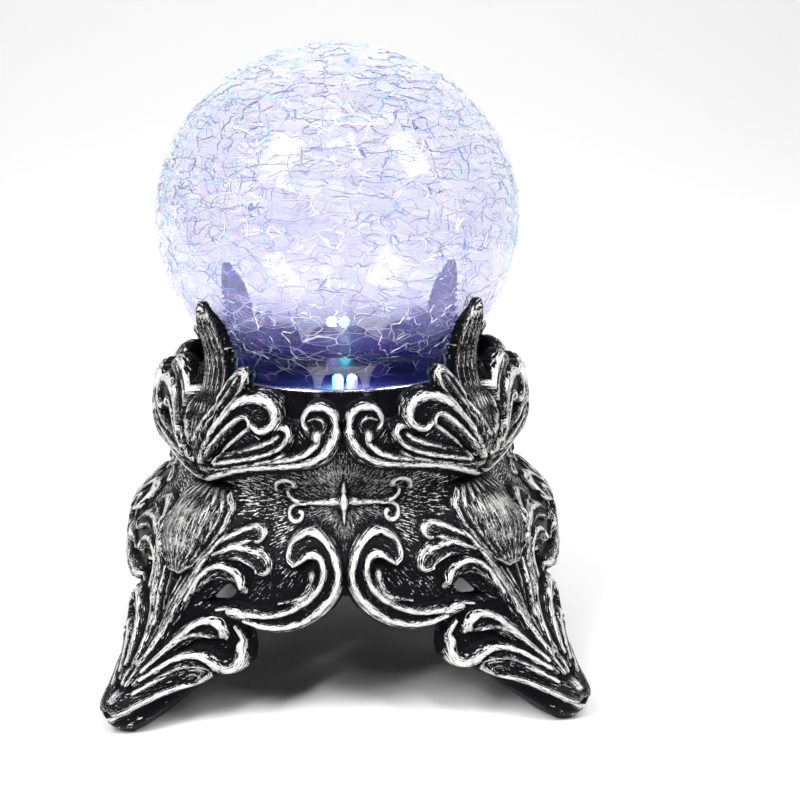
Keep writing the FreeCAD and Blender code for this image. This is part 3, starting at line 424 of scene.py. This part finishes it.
class Finish:
    """A material with one Principled shader, and short helpers that add procedural nodes to it."""

    def __init__(self, name, rough=0.4, metal=0.0):
        self.made = bpy.data.materials.new(name)
        self.made.use_nodes = True
        self.tree = self.made.node_tree
        self.shader = self.tree.nodes["Principled BSDF"]
        self.shader.inputs["Roughness"].default_value = rough
        self.shader.inputs["Metallic"].default_value = metal

    def add(self, kind, **settings):
        added = self.tree.nodes.new(kind)
        for key, value in settings.items():
            setattr(added, key, value)
        return added

    def put(self, socket, value):
        if isinstance(value, bpy.types.NodeSocket):
            self.tree.links.new(value, socket)
        else:
            socket.default_value = value

    def give(self, name, value):
        self.put(self.shader.inputs[name], value)
        return self

    def place(self):
        return self.add("ShaderNodeTexCoord").outputs["Object"]

    def split(self, vector):
        return self.join("ShaderNodeSeparateXYZ", vector).outputs

    def join(self, kind, *values, **settings):
        added = self.add(kind, **settings)
        for socket, value in zip(added.inputs, values):
            self.put(socket, value)
        return added

    def maths(self, operation, *values):
        return self.join("ShaderNodeMath", *values, operation=operation).outputs[0]

    def mark(self, name):
        return self.add("ShaderNodeAttribute", attribute_name=name).outputs["Fac"]

    def span(self, value, low, high, start=0.0, stop=1.0):
        added = self.add("ShaderNodeMapRange", interpolation_type="SMOOTHSTEP")
        for name, number in zip(("Value", "From Min", "From Max", "To Min", "To Max"),
                                (value, low, high, start, stop)):
            self.put(added.inputs[name], number)
        return added.outputs["Result"]

    def stretched(self, vector, scales):
        return self.join("ShaderNodeVectorMath", vector, scales, operation="MULTIPLY").outputs[0]

    def noise(self, vector, scale, detail=3.0, rough=0.55):
        added = self.add("ShaderNodeTexNoise")
        for name, value in (("Vector", vector), ("Scale", scale), ("Detail", detail), ("Roughness", rough)):
            self.put(added.inputs[name], value)
        return added.outputs["Fac"]

    def cells(self, vector, scale, feature="DISTANCE_TO_EDGE", output="Distance"):
        added = self.add("ShaderNodeTexVoronoi", feature=feature)
        self.put(added.inputs["Vector"], vector)
        self.put(added.inputs["Scale"], scale)
        return added.outputs[output]

    def blend(self, share, first, second):
        added = self.add("ShaderNodeMix", data_type="RGBA")
        self.put(added.inputs["Factor"], share)
        self.put(added.inputs["A"], first)
        self.put(added.inputs["B"], second)
        return added.outputs["Result"]

    def ramp(self, value, stops):
        added = self.join("ShaderNodeValToRGB", value)
        while len(added.color_ramp.elements) < len(stops):
            added.color_ramp.elements.new(0.5)
        for element, (place, colour) in zip(added.color_ramp.elements, stops):
            element.position = place
            element.color = colour
        return added.outputs["Color"]

    def bump(self, height, depth, strength=1.0):
        added = self.add("ShaderNodeBump")
        self.put(added.inputs["Height"], height)
        added.inputs["Distance"].default_value = depth
        added.inputs["Strength"].default_value = strength
        return self.give("Normal", added.outputs["Normal"])


def rgb(red, green, blue):
    return (red, green, blue, 1.0)


def brushed_silver():
    """Black plastic with silver paint dragged over whatever stands up."""
    finish = Finish("brushed_silver")
    silver = finish.mark("silver")
    grain = finish.join("ShaderNodeCombineXYZ", finish.maths("MULTIPLY", finish.mark("grain_run"), 0.28),
                        finish.maths("MULTIPLY", finish.mark("grain_side"), 3.4), 0.0).outputs[0]
    streak = finish.noise(grain, 1.0, 4.0, 0.62)
    place = finish.place()
    patch = finish.noise(place, 85.0, 3.0)
    fleck = finish.noise(place, 1300.0, 2.0)
    reach = silver
    for unevenness, amount in ((streak, 2.6), (patch, 0.5), (fleck, 0.6)):
        swing = finish.maths("MULTIPLY", finish.maths("SUBTRACT", unevenness, 0.5), amount)
        reach = finish.maths("ADD", reach, swing)
    share = finish.span(reach, 0.44, 0.66)
    bright = finish.blend(streak, rgb(0.40, 0.40, 0.41), rgb(0.90, 0.89, 0.87))
    finish.give("Base Color", finish.blend(share, rgb(0.003, 0.003, 0.004), bright))
    finish.give("Metallic", finish.maths("MULTIPLY", share, 0.35))
    finish.give("Roughness", finish.span(share, 0, 1, 0.42, 0.40))
    finish.give("Specular IOR Level", finish.span(share, 0, 1, 0.05, 0.5))
    finish.bump(finish.maths("ADD", finish.maths("MULTIPLY", share, 0.5), streak), 0.00012, 0.6)
    return finish.made


def gloss_black(name, scale=260.0, rough=0.12, tint=(0.006, 0.006, 0.008)):
    """Polished black plastic with the slight unevenness of a moulded face."""
    finish = Finish(name)
    place = finish.place()
    cloud = finish.noise(place, scale * 0.2, 2.0)
    finish.give("Base Color", finish.blend(cloud, rgb(*tint), rgb(*(value * 2.2 for value in tint))))
    fine = finish.noise(place, scale * 2.5, 4.0)
    finish.give("Roughness", finish.span(fine, 0.3, 0.7, rough * 0.8, rough * 1.4))
    finish.bump(finish.noise(place, scale, 2.0), 0.00004, 0.3)
    return finish.made


def grained(name, dark, light, rough=0.5, scale=700.0, metal=0.0, depth=0.00004):
    """Moulded plastic, rubber or plain metal: a fine grain and a slow change of tone."""
    finish = Finish(name, rough, metal)
    place = finish.place()
    fine = finish.noise(place, scale, 4.0)
    slow = finish.noise(place, 60.0, 2.0)
    share = finish.maths("MULTIPLY", finish.maths("ADD", fine, slow), 0.5)
    finish.give("Base Color", finish.blend(share, rgb(*dark), rgb(*light)))
    finish.give("Roughness", finish.span(fine, 0.3, 0.7, rough * 0.85, min(rough * 1.15, 1.0)))
    finish.bump(fine, depth, 0.4)
    return finish.made


def drawn_metal(name, dark, light, rough=0.25, stretch=(300.0, 3000.0, 3000.0)):
    """Plated or drawn metal with fine lines one way."""
    finish = Finish(name, rough, 1.0)
    lines = finish.noise(finish.stretched(finish.place(), stretch), 1.0, 4.0)
    finish.give("Base Color", finish.blend(lines, rgb(*dark), rgb(*light)))
    finish.give("Roughness", finish.span(lines, 0.3, 0.7, rough * 0.7, rough * 1.4))
    finish.bump(lines, 0.00002, 0.4)
    return finish.made


CELLS, FINE_CELLS = 95.0, 300.0          # crackle cells per metre: the wide net, and the sparkle at the rim
NECK_TOP, NECK_CLEAR = 0.124, 0.136      # heights in metres between which the smooth neck takes its cracks
BLUE_HIGH, BLUE_LOW = 0.152, 0.127       # heights between which the painted lamp light turns the glass from lavender to deep blue


def crackle_glass():
    """See-through glass broken by a net of fine cracks, with the lamps' light painted in: deep blue towards
    its neck, a glow there, light on the cracks, and a painted reflection at its rim.
    """
    finish = Finish("crackle_glass", 0.04)
    place = finish.place()
    up = finish.split(place)[2]
    warp = finish.add("ShaderNodeTexNoise")
    finish.put(warp.inputs["Vector"], place)
    finish.put(warp.inputs["Scale"], 90.0)
    bent = finish.join("ShaderNodeVectorMath", warp.outputs["Color"], (0.006, 0.006, 0.003), place,
                       operation="MULTIPLY_ADD").outputs[0]
    rim = finish.add("ShaderNodeLayerWeight")
    rim.inputs["Blend"].default_value = 0.35
    facing = rim.outputs["Facing"]
    flat = finish.stretched(bent, (1.0, 1.0, 2.1))
    wide = finish.cells(flat, CELLS)
    fine = finish.cells(finish.stretched(bent, (1.0, 1.0, 1.7)), FINE_CELLS)
    patch = finish.noise(place, 55.0, 2.0)
    crack = finish.maths("MULTIPLY", finish.span(wide, 0.026, 0.008),
                         finish.span(patch, 0.40, 0.52, 0.15, 1.0))
    crack = finish.maths("MULTIPLY", crack, finish.span(up, NECK_TOP, NECK_CLEAR))
    # Painted glints: a fine net of cracks that shows only towards the silhouette.
    sparkle = finish.maths("MULTIPLY", finish.span(fine, 0.05, 0.01), finish.span(facing, 0.35, 0.85))
    crack = finish.maths("MAXIMUM", crack, sparkle)
    shade = finish.split(finish.cells(flat, CELLS, "F1", "Color"))[0]
    # Painted lamp light: the glass turns deep blue below BLUE_HIGH and darkens to near black at its neck; in
    # the lower middle it also turns blue towards its silhouette at the sides.
    low = finish.span(up, BLUE_HIGH, BLUE_LOW)
    aside = finish.maths("MULTIPLY", finish.span(up, 0.176, 0.140), finish.span(facing, 0.25, 0.80))
    low = finish.maths("MAXIMUM", low, finish.maths("MULTIPLY", aside, 0.72))
    deep = finish.ramp(low, [(0.0, rgb(0.38, 0.33, 0.60)), (0.35, rgb(0.20, 0.16, 0.46)),
                             (0.7, rgb(0.035, 0.025, 0.24)), (1.0, rgb(0.008, 0.006, 0.05))])
    # Painted rim reflection: above the blue, the glass fades to pale white towards its silhouette.
    painted_rim_white = finish.maths("MULTIPLY", finish.span(facing, 0.25, 0.7), finish.span(low, 0.5, 0.0))
    body = finish.blend(painted_rim_white, deep, rgb(0.76, 0.76, 0.78))
    # Painted light on the cracks: deep blue to white from cell to cell, whiter towards the neck near the
    # lamps.
    lines = finish.blend(finish.span(finish.maths("ADD", shade, low), 0.45, 0.85),
                         rgb(0.02, 0.10, 0.42), rgb(0.97, 0.97, 1.0))
    finish.give("Base Color", finish.blend(crack, body, lines))
    # Painted rim reflection: the glass is more opaque towards its silhouette.
    painted_rim_sheen = finish.maths("MULTIPLY", finish.maths("POWER", facing, 3.0), 0.45)
    veil = finish.maths("ADD", finish.span(shade, 0.0, 1.0, 0.03, 0.15), painted_rim_sheen)
    # The glass is more opaque towards the bottom, most of all in the painted blue zone.
    veil = finish.maths("ADD", veil, finish.maths("MULTIPLY", finish.maths("POWER", low, 1.6), 0.34))
    veil = finish.maths("ADD", veil, finish.span(up, 0.215, 0.150, 0.0, 0.11))
    veil = finish.maths("ADD", veil, finish.maths("MULTIPLY", crack, 0.62))
    finish.give("Alpha", finish.maths("MINIMUM", veil, 0.97))
    # Painted glow: the glass glows blue towards its neck with the lamps' light, stronger in some cells.
    glow = finish.maths("MULTIPLY", finish.span(up, 0.148, 0.128), finish.span(shade, 0.2, 1.0, 0.1, 1.0))
    finish.give("Emission Color", finish.ramp(shade, [
        (0.0, rgb(0.01, 0.02, 0.6)), (0.6, rgb(0.03, 0.12, 0.8)), (1.0, rgb(0.25, 0.20, 0.9))]))
    finish.give("Emission Strength", finish.maths("MULTIPLY", glow, 0.08))
    finish.bump(finish.maths("ADD", crack, shade), 0.0004, 0.35)
    finish.give("IOR", 1.6)
    finish.give("Specular IOR Level", 1.0)
    return finish.made


def crack_light():
    """The lit faces of the cracks, painted: white, ice blue or deep blue from one to the next, with a painted
    glow.
    """
    finish = Finish("crack_light", 0.12)
    tone = finish.mark("tone")
    colour = finish.ramp(tone, [(0.0, rgb(0.008, 0.010, 0.07)), (0.22, rgb(0.05, 0.11, 0.46)),
                                (0.45, rgb(0.04, 0.46, 0.72)), (0.62, rgb(0.60, 0.66, 1.0)),
                                (0.9, rgb(1.0, 1.0, 1.0))])
    # Noise patches where the cracks show more and their painted light turns paler.
    crack_patches = finish.noise(finish.place(), 420.0, 3.0)
    pale = finish.span(crack_patches, 0.4, 0.6, 0.0, 0.15)
    finish.give("Base Color", finish.blend(pale, colour, rgb(0.85, 0.87, 1.0)))
    # Painted glow in the crack's colour, stronger for the brighter tones.
    finish.give("Emission Color", colour)
    finish.give("Emission Strength", finish.span(tone, 0.2, 1.0, 0.0, 0.22))
    finish.give("Alpha", finish.span(crack_patches, 0.40, 0.60, 0.20, 0.95))
    return finish.made


def lamp_glow(name, core, edge, strength):
    """Lit lamp: white where it is thick, coloured towards its edge."""
    finish = Finish(name, 0.15)
    rim = finish.add("ShaderNodeLayerWeight")
    rim.inputs["Blend"].default_value = 0.4
    cloud = finish.noise(finish.place(), 700.0, 2.0)
    share = finish.maths("MULTIPLY", rim.outputs["Facing"], finish.span(cloud, 0.2, 0.8, 0.8, 1.1))
    colour = finish.blend(share, rgb(*core), rgb(*edge))
    finish.give("Base Color", colour)
    finish.give("Emission Color", colour)
    finish.give("Emission Strength", finish.span(share, 0.0, 1.0, strength, strength * 0.5))
    return finish.made


def lit_deck(lamps):
    """Glossy black deck with each lamp's colour painted round its foot as a glowing reflection, and a painted
    pool of blue lamp light round the first lamp.
    """
    finish = Finish("lit_deck")
    place = finish.place()
    cloud = finish.noise(place, 180.0, 3.0)
    finish.give("Roughness", finish.span(cloud, 0.3, 0.7, 0.08, 0.2))
    glow = rgb(0.0, 0.0, 0.0)
    near = 0.0
    # Painted reflection: each lamp's colour glows on the deck close round its foot.
    for centre, colour in lamps:
        apart = finish.join("ShaderNodeVectorMath", place, centre, operation="DISTANCE").outputs["Value"]
        share = finish.span(apart, 0.016, 0.002)
        glow = finish.blend(share, glow, rgb(*colour))
        near = finish.maths("MAXIMUM", share, near)
    # Painted pool of blue lamp light round the first lamp, in the base colour and as a faint glow.
    wide = finish.join("ShaderNodeVectorMath", place, lamps[0][0], operation="DISTANCE").outputs["Value"]
    painted_lamp_pool = finish.span(wide, 0.044, 0.006)
    finish.give("Base Color", finish.blend(painted_lamp_pool, rgb(0.006, 0.006, 0.012), rgb(0.02, 0.03, 0.16)))
    finish.give("Emission Color", finish.blend(near, rgb(0.02, 0.05, 0.85), glow))
    ripple = finish.span(cloud, 0.35, 0.65, 0.6, 1.2)
    strength = finish.maths("ADD", finish.maths("MULTIPLY", near, 3.2),
                            finish.maths("MULTIPLY", painted_lamp_pool, 0.22))
    finish.give("Emission Strength", finish.maths("MULTIPLY", strength, ripple))
    return finish.made


def solder_mask():
    """Green board with paler tracks showing through."""
    finish = Finish("solder_mask", 0.35)
    place = finish.place()
    tracks = finish.cells(finish.stretched(place, (1.0, 1.0, 0.0)), 420.0, "F1")
    share = finish.span(tracks, 0.42, 0.5)
    finish.give("Base Color", finish.blend(share, rgb(0.02, 0.16, 0.07), rgb(0.05, 0.30, 0.13)))
    finish.bump(share, 0.00003, 0.5)
    return finish.made


def banded(name, plain, band, places, half, rough=0.4, axis=0):
    """A body with coloured bands across it, such as a resistor or the bright end of a cell."""
    finish = Finish(name, rough)
    place = finish.place()
    along = finish.split(place)[axis]
    share = 0.0
    for centre in places:
        apart = finish.maths("ABSOLUTE", finish.maths("SUBTRACT", along, centre))
        share = finish.maths("MAXIMUM", finish.span(apart, half, half * 0.8), share)
    grain = finish.noise(place, 500.0, 3.0)
    ground = finish.blend(grain, rgb(*plain), rgb(*(value * 1.5 for value in plain)))
    finish.give("Base Color", finish.blend(share, ground, rgb(*band)))
    finish.give("Roughness", finish.span(grain, 0.3, 0.7, rough * 0.8, rough * 1.2))
    return finish.made


def dress(thing, material):
    """Give every slot of an object one material."""
    slots = thing.data.materials
    if not len(slots):
        slots.append(material)
    for index in range(len(slots)):
        slots[index] = material


# ---------------------------------------------------------------- the stand

# Each tier: reach, span, (up, radius) profiles at the middle, the corner and inside the corner, where the
# corner starts across at each height, strokes, outline, eyes, the leaf and how it swells and takes silver.

base_ribs = leaf_ribs(BULB_EDGE, 73.0, (0.15, 0.36, 0.58, 0.8), 0.7)
crown_ribs = leaf_ribs(CLAW_EDGE, CORNER, (0.1, 0.3, 0.5, 0.7), 0.55)
BASE = Tier("base", 93.0, (0.0, 88.0), (
    [(0, 91), (20, 91), (40, 90.4), (50, 89.8), (60, 88.4), (66, 86), (72, 80), (78, 74), (83, 72),
     (88, 71)],
    [(0, 121), (2.5, 125.5), (6, 127.6), (10, 126), (17.8, 116.8), (26.5, 108), (36, 100.6), (47, 96),
     (56, 91), (66, 89), (72, 87.4), (79, 82.6), (85, 75), (88, 71.5)],
    [(0, 115), (12, 107), (30, 94), (51, 86), (70, 80), (80, 73), (88, 66)]),
    [(0, 46), (14, 42), (24, 28), (40, 24), (58, 46), (88, 46)],
    (BASE_BANDS, BASE_RIDGES + [(rib, 0.6) for rib in base_ribs] + [(BULB_EDGE_RIDGE, 1.2)]),
    BASE_OUTLINE, BASE_EYES, (BASE_LEAF, 3.0, 0.36))
CROWN = Tier("crown", 78.0, (88.0, 158.4), (
    [(88, 71), (94, 73.4), (102, 75.6), (108, 76), (118, 75), (127, 73.4), (140, 73), (158, 72)],
    [(86, 71.5), (92, 75), (100, 78.4), (106, 79.4), (112, 78.4), (118, 75.4), (125, 72), (134, 70.4),
     (143, 72), (151, 74.6), (158.4, 75)],
    [(86, 64), (100, 70), (112, 68), (120, 65), (125, 63.6), (134, 63.6), (140, 64.6), (148, 67.2),
     (154, 70.8), (158.4, 73.6)]),
    [(88, 36), (158, 36)],
    (CROWN_BANDS, CROWN_RIDGES + [(rib, 0.55) for rib in crown_ribs]),
    CROWN_OUTLINE, [], (CROWN_CLAW, 1.6, 0.16), CLAW_HALF)

silver_paint = brushed_silver()


def stand_pieces(tier, node):
    """Four carved faces of one tier."""
    points, faces, marks = closed_mesh(tier, tier_surface(tier))
    for side in range(4):
        piece = mesh_object(f"{tier.name}_face_{side}", points, faces, marks, turn=side * pi / 2)
        dress(piece, silver_paint)
        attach(piece, "root")
        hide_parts(node)


def turned(name, outline, material, node, steps=160):
    """Turned piece of the root body; it may stand in for a CAD node."""
    piece = lathe(name, outline, steps)
    dress(piece, material)
    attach(piece, "root")
    if node:
        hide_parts(node)


stand_black = gloss_black("stand_black", 200.0, 0.22)
stand_pieces(BASE, "base_stand")
stand_pieces(CROWN, "crown")
turned("base_web", [(22, 84), (68, 84), (71, 87), (70, 88), (22, 88)],
       stand_black, "base_stand")
turned("crown_dish", [(22, 88), (66.5, 88), (70, 94), (71.4, 104), (71.4, 112), (70.6, 114.4),
                      (68.6, 115.4), (65, 114.6), (60, 111.5), (57, 105.5), (55.2, 103), (54.2, 101.6),
                      (54.2, 91), (22, 91)],
       stand_black, "crown")


# ---------------------------------------------------------------- globe, cup and lamps

GLOBE_MIDDLE = 183.4
GLOBE_ACROSS, GLOBE_UP = 73.9, 69.7    # middle of the glass wall
RIBBON_DEEP = 0.20                     # half depth of one crack's lit face
CROSS_LEAN = 0.015                     # how far a cross crack leans aside, in radians about the axis

dice = np.random.default_rng(20)


def on_globe(turn, climb, inward=0.0):
    """Point of the glass wall, by turn about the axis and climb from the widest ring."""
    return np.array([(GLOBE_ACROSS - inward) * cos(climb) * cos(turn),
                     (GLOBE_ACROSS - inward) * cos(climb) * sin(turn),
                     GLOBE_MIDDLE + (GLOBE_UP - inward) * sin(climb)])


def ribbon(start, stop, wide, points, faces):
    """Thin box along a crack, standing on edge in the glass."""
    middle = (start + stop) / 2 - np.array([0, 0, GLOBE_MIDDLE])
    deep = middle / np.linalg.norm(middle) * RIBBON_DEEP
    along = stop - start
    side = np.cross(along, deep)
    side *= wide / np.linalg.norm(side)
    first = len(points)
    for end in (start, stop):
        for inward, aside in ((-1, -1), (-1, 1), (1, 1), (1, -1)):
            points.append(end + deep * inward + side * aside)
    faces += [[first, first + 1, first + 2, first + 3], [first + 7, first + 6, first + 5, first + 4]]
    faces += [[first + corner, first + 4 + corner, first + 4 + (corner + 1) % 4, first + (corner + 1) % 4]
              for corner in range(4)]


def crack(start, stop, tone, wide, points, faces, tones):
    """One crack: three short ribbons that wander between two corners of the net."""
    wander = 0.09 * np.linalg.norm(stop - start)
    stations = [start] + [start + (stop - start) * share + dice.normal(0, wander, 3) * (1, 1, 0.8)
                          for share in (0.34, 0.68)] + [stop]
    for first, last in zip(stations, stations[1:]):
        ribbon(first, last, wide, points, faces)
        tones += [tone] * 8


def crackle(name, low, high, row_step, cell, row_share, cross_share, wide, tones):
    """Net of cracks between two climbs: long rows around the globe and short cracks across them."""
    points, faces, tone = [], [], []
    rows = int((high - low) / (row_step / GLOBE_UP))
    before = None
    for row in range(rows + 1):
        climb = low + (high - low) * row / rows
        count = max(int(2 * pi * GLOBE_ACROSS * cos(climb) / cell), 8)
        offset = dice.uniform(0, 2 * pi / count)
        turns = offset + (np.arange(count) + dice.uniform(-0.36, 0.36, count)) * 2 * pi / count
        climbs = climb + dice.uniform(-0.42, 0.42, count) * (high - low) / rows
        corners = [on_globe(turn, up) for turn, up in zip(turns, climbs)]
        for index, corner in enumerate(corners):
            if dice.random() < row_share:
                after = corners[(index + 1) % count]
                crack(corner, after, dice.choice(tones), wide, points, faces, tone)
            if before is not None and dice.random() < cross_share:
                share = ((turns[index] + dice.normal(0, CROSS_LEAN)) % (2 * pi)) / (2 * pi)
                nearest = int(share * len(before))
                beside = [before[(nearest + shift) % len(before)] for shift in (-2, -1, 0, 1, 2)]
                stop = min(beside, key=lambda other: np.linalg.norm(corner - other))
                crack(corner, stop, dice.choice(tones), wide, points, faces, tone)
        before = corners
    piece = mesh_object(name, np.array(points), [np.array(faces)], {"tone": np.array(tone)}, smooth=False)
    dress(piece, crack_paint)
    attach(piece, "root")


crack_paint = crack_light()
# Each net draws its cracks' painted light from its own tones; the lowest, near the lamps, is brightest.
crackle("crackle_upper", 0.10, 1.50, 4.2, 7.0, 0.56, 0.30, 0.12, (0.0, 0.0, 0.1, 0.2, 0.2, 0.45, 0.45, 0.6))
crackle("crackle_middle", -0.42, 0.10, 4.6, 7.0, 0.50, 0.40, 0.10, (0.0, 0.1, 0.2, 0.3, 0.45, 0.6, 1.0))
crackle("crackle_lower", -0.78, -0.42, 7.0, 5.8, 0.12, 0.62, 0.07, (0.25, 0.7, 0.9, 1.0, 1.0))

# Thin ring on the cup's lip: its bright lavender-white colour is a painted highlight along the lip.
turned("cup_rim", [(51.9, 122.0), (52.1, 121.4), (53.1, 121.4), (53.55, 121.9), (53.6, 122.6),
                   (53.3, 123.1), (52.6, 123.3), (52.0, 123.1)],
       drawn_metal("rim_painted_highlight", (0.62, 0.60, 0.78), (0.86, 0.85, 0.97), 0.22, (900.0, 900.0, 900.0)),
       None, 200)

LAMP_LEFT, LAMP_RIGHT = (-0.00175, 0.0, 0.1112), (0.00455, 0.0, 0.1112)   # each lamp's foot on the deck
CELL_END = 0.0201                      # how far along a cell its bright band lies
node_finish = {
    "globe": crackle_glass(),
    "globe_cup": gloss_black("cup_black", 220.0, 0.10),
    "globe_gasket": grained("soft_ring", (0.012, 0.012, 0.012), (0.03, 0.03, 0.03), 0.75),
    "light_deck": lit_deck([(LAMP_LEFT, (0.15, 0.85, 1.0)), (LAMP_RIGHT, (0.55, 0.45, 1.0))]),
    "led_lamp_cyan": lamp_glow("lamp_cyan", (0.70, 1.0, 1.0), (0.05, 0.72, 1.0), 3.6),
    "led_lamp_lavender": lamp_glow("lamp_lavender", (0.80, 0.74, 1.0), (0.42, 0.34, 0.95), 1.5),
    "led_board": solder_mask(),
    "led_leads": drawn_metal("tinned", (0.62, 0.62, 0.62), (0.85, 0.85, 0.84), 0.3),
    "board_chip": grained("moulded_chip", (0.012, 0.012, 0.013), (0.04, 0.04, 0.042), 0.6, 1500.0),
    "board_resistors": banded("resistor", (0.52, 0.42, 0.27), (0.45, 0.06, 0.03),
                              (-0.0072, -0.0056, 0.0074, 0.009), 0.0003),
    "battery_box": grained("box_plastic", (0.012, 0.012, 0.013), (0.032, 0.032, 0.034), 0.5),
    "battery_door": grained("door_plastic", (0.014, 0.014, 0.015), (0.036, 0.036, 0.038), 0.48),
    "latch_bush": drawn_metal("brass", (0.58, 0.42, 0.16), (0.86, 0.68, 0.34), 0.28, (2000.0, 2000.0, 300.0)),
    "battery_springs": drawn_metal("spring_nickel", (0.55, 0.55, 0.54), (0.82, 0.81, 0.78), 0.25),
    "contact_plates": drawn_metal("plate_nickel", (0.58, 0.58, 0.56), (0.80, 0.79, 0.76), 0.3,
                                  (3000.0, 300.0, 3000.0)),
    "switch_body": grained("switch_case", (0.02, 0.02, 0.022), (0.05, 0.05, 0.055), 0.55, 1200.0),
    "switch_knob": grained("knob_plastic", (0.05, 0.05, 0.055), (0.11, 0.11, 0.12), 0.6, 1600.0),
    "wire_red": grained("red_cover", (0.32, 0.012, 0.012), (0.62, 0.04, 0.03), 0.45, 1500.0),
    "wire_link": grained("red_link", (0.32, 0.012, 0.012), (0.62, 0.04, 0.03), 0.45, 1500.0),
    "wire_black": grained("black_cover", (0.010, 0.010, 0.010), (0.035, 0.035, 0.035), 0.45, 1500.0),
}
for number in (1, 2, 3):
    end = CELL_END if number == 2 else -CELL_END
    node_finish[f"battery_{number}"] = banded(f"cell_{number}", (0.03, 0.03, 0.034), (0.72, 0.55, 0.30),
                                              (end,), 0.0045, 0.3)
for name in ("stack_screws", "board_screws", "box_screws", "hinge_pin", "door_screw"):
    node_finish[name] = drawn_metal(f"steel_{name}", (0.45, 0.45, 0.46), (0.74, 0.74, 0.75), 0.28,
                                    (2400.0, 2400.0, 400.0))
for name, material in node_finish.items():
    dress(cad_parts[name], material)


# ---------------------------------------------------------------- studio

def panel(name, place, aim, sides, power, colour=(1, 1, 1)):
    """Soft light that looks from a place towards a point."""
    light = bpy.data.lights.new(name, "AREA")
    light.shape = "RECTANGLE"
    light.size, light.size_y = sides
    light.energy = power
    light.color = colour
    thing = bpy.data.objects.new(name, light)
    thing.location = place
    thing.rotation_euler = (Vector(aim) - Vector(place)).to_track_quat("-Z", "Y").to_euler()
    bpy.context.scene.collection.objects.link(thing)


def studio_floor():
    """Pale sweep: flat under the stand, then curving up behind it."""
    half, flat, rise, steps = 2.6, 1.4, 1.6, 24
    profile = [(-2.2, 0.0), (flat, 0.0)]
    for turn in np.linspace(0, pi / 2, steps + 1)[1:]:
        profile.append((flat + rise * sin(turn), rise * (1 - cos(turn))))
    profile.append((flat + rise, rise + 1.6))
    mesh = bpy.data.meshes.new("sweep")
    mesh.from_pydata([(side * half, out, up) for out, up in profile for side in (-1, 1)], [],
                     [(2 * row, 2 * row + 1, 2 * row + 3, 2 * row + 2) for row in range(len(profile) - 1)])
    mesh.polygons.foreach_set("use_smooth", [True] * len(mesh.polygons))
    sweep = bpy.data.objects.new("sweep", mesh)
    bpy.context.scene.collection.objects.link(sweep)
    paper = Finish("sweep_paper", 0.9)
    place = paper.place()
    grain = paper.noise(place, 40.0, 4.0)
    paper.give("Base Color", paper.blend(grain, rgb(0.87, 0.87, 0.87), rgb(0.91, 0.91, 0.91)))
    # Painted light: the floor glows white from 0.125 m out from the stand's middle, leaving a painted shadow
    # round the stand that fades out by 0.30 m.
    far = paper.join("ShaderNodeVectorMath", place, operation="LENGTH").outputs["Value"]
    paper.give("Emission Color", rgb(1, 1, 1))
    paper.give("Emission Strength", paper.span(far, 0.125, 0.30, 0.0, 0.46))
    dress(sweep, paper.made)


studio_floor()
world = bpy.data.worlds.new("studio")
bpy.context.scene.world = world
world.use_nodes = True
WORLD_LIGHT, WORLD_SEEN = 0.08, 1.05   # white to look at, but a weak light
sky = world.node_tree.nodes["Background"]
sky.inputs["Color"].default_value = rgb(1, 1, 1)
seen = world.node_tree.nodes.new("ShaderNodeLightPath").outputs["Is Camera Ray"]
glow = world.node_tree.nodes.new("ShaderNodeMapRange")
glow.inputs["To Min"].default_value, glow.inputs["To Max"].default_value = WORLD_LIGHT, WORLD_SEEN
world.node_tree.links.new(seen, glow.inputs["Value"])
world.node_tree.links.new(glow.outputs["Result"], sky.inputs["Strength"])
panel("key_left", (-0.60, -0.62, 1.05), (0, 0, 0.12), (0.4, 0.5), 14)
panel("key_right", (0.72, -0.48, 0.95), (0, 0, 0.12), (0.3, 0.5), 10)
panel("top", (0.0, 0.25, 1.3), (0, 0.25, 0.0), (1.4, 1.4), 8)
panel("glint_middle", (0.17, -0.66, 1.16), (0, 0, 0.20), (0.05, 0.30), 3.2)
panel("glint_left", (-0.62, -0.78, 0.80), (0, 0, 0.20), (0.05, 0.26), 3.0)
panel("behind", (0.0, 0.9, 1.2), (0, 2.4, 0.5), (2.0, 1.0), 4)

LAMP_RADIUS, LAMP_SHIFT = 0.0026, Vector((0.0, -0.0045, 0.009))   # in front of the lamp, level with its dome
for place, colour, power in ((LAMP_LEFT, (0.10, 0.85, 1.0), 0.09), (LAMP_RIGHT, (0.50, 0.40, 1.0), 0.06)):
    bulb = bpy.data.lights.new("lamp_light", "POINT")
    bulb.energy, bulb.color, bulb.shadow_soft_size = power, colour, LAMP_RADIUS
    bulb_thing = bpy.data.objects.new("lamp_light", bulb)
    bulb_thing.location = Vector(place) + LAMP_SHIFT
    bpy.context.scene.collection.objects.link(bulb_thing)

CAMERA_AT, LENS = (0.00016, -0.51345, 0.2375), 55.3    # fitted to the photograph's angle
PITCH, YAW, ROLL = radians(-14.44), radians(2.77), radians(-0.36)
forward = Vector((sin(YAW) * cos(PITCH), cos(YAW) * cos(PITCH), sin(PITCH)))
right = forward.cross(Vector((0, 0, 1))).normalized()
above = right.cross(forward)
right, above = right * cos(ROLL) + above * sin(ROLL), above * cos(ROLL) - right * sin(ROLL)
camera = bpy.data.objects.new("camera", bpy.data.cameras.new("camera"))
camera.data.lens = LENS
camera.data.clip_start = 0.01
turned_camera = Matrix((right, above, -forward)).transposed().to_4x4()
camera.matrix_world = Matrix.Translation(CAMERA_AT) @ turned_camera
bpy.context.scene.collection.objects.link(camera)
bpy.context.scene.camera = camera
bpy.context.scene.view_settings.view_transform = "Standard"
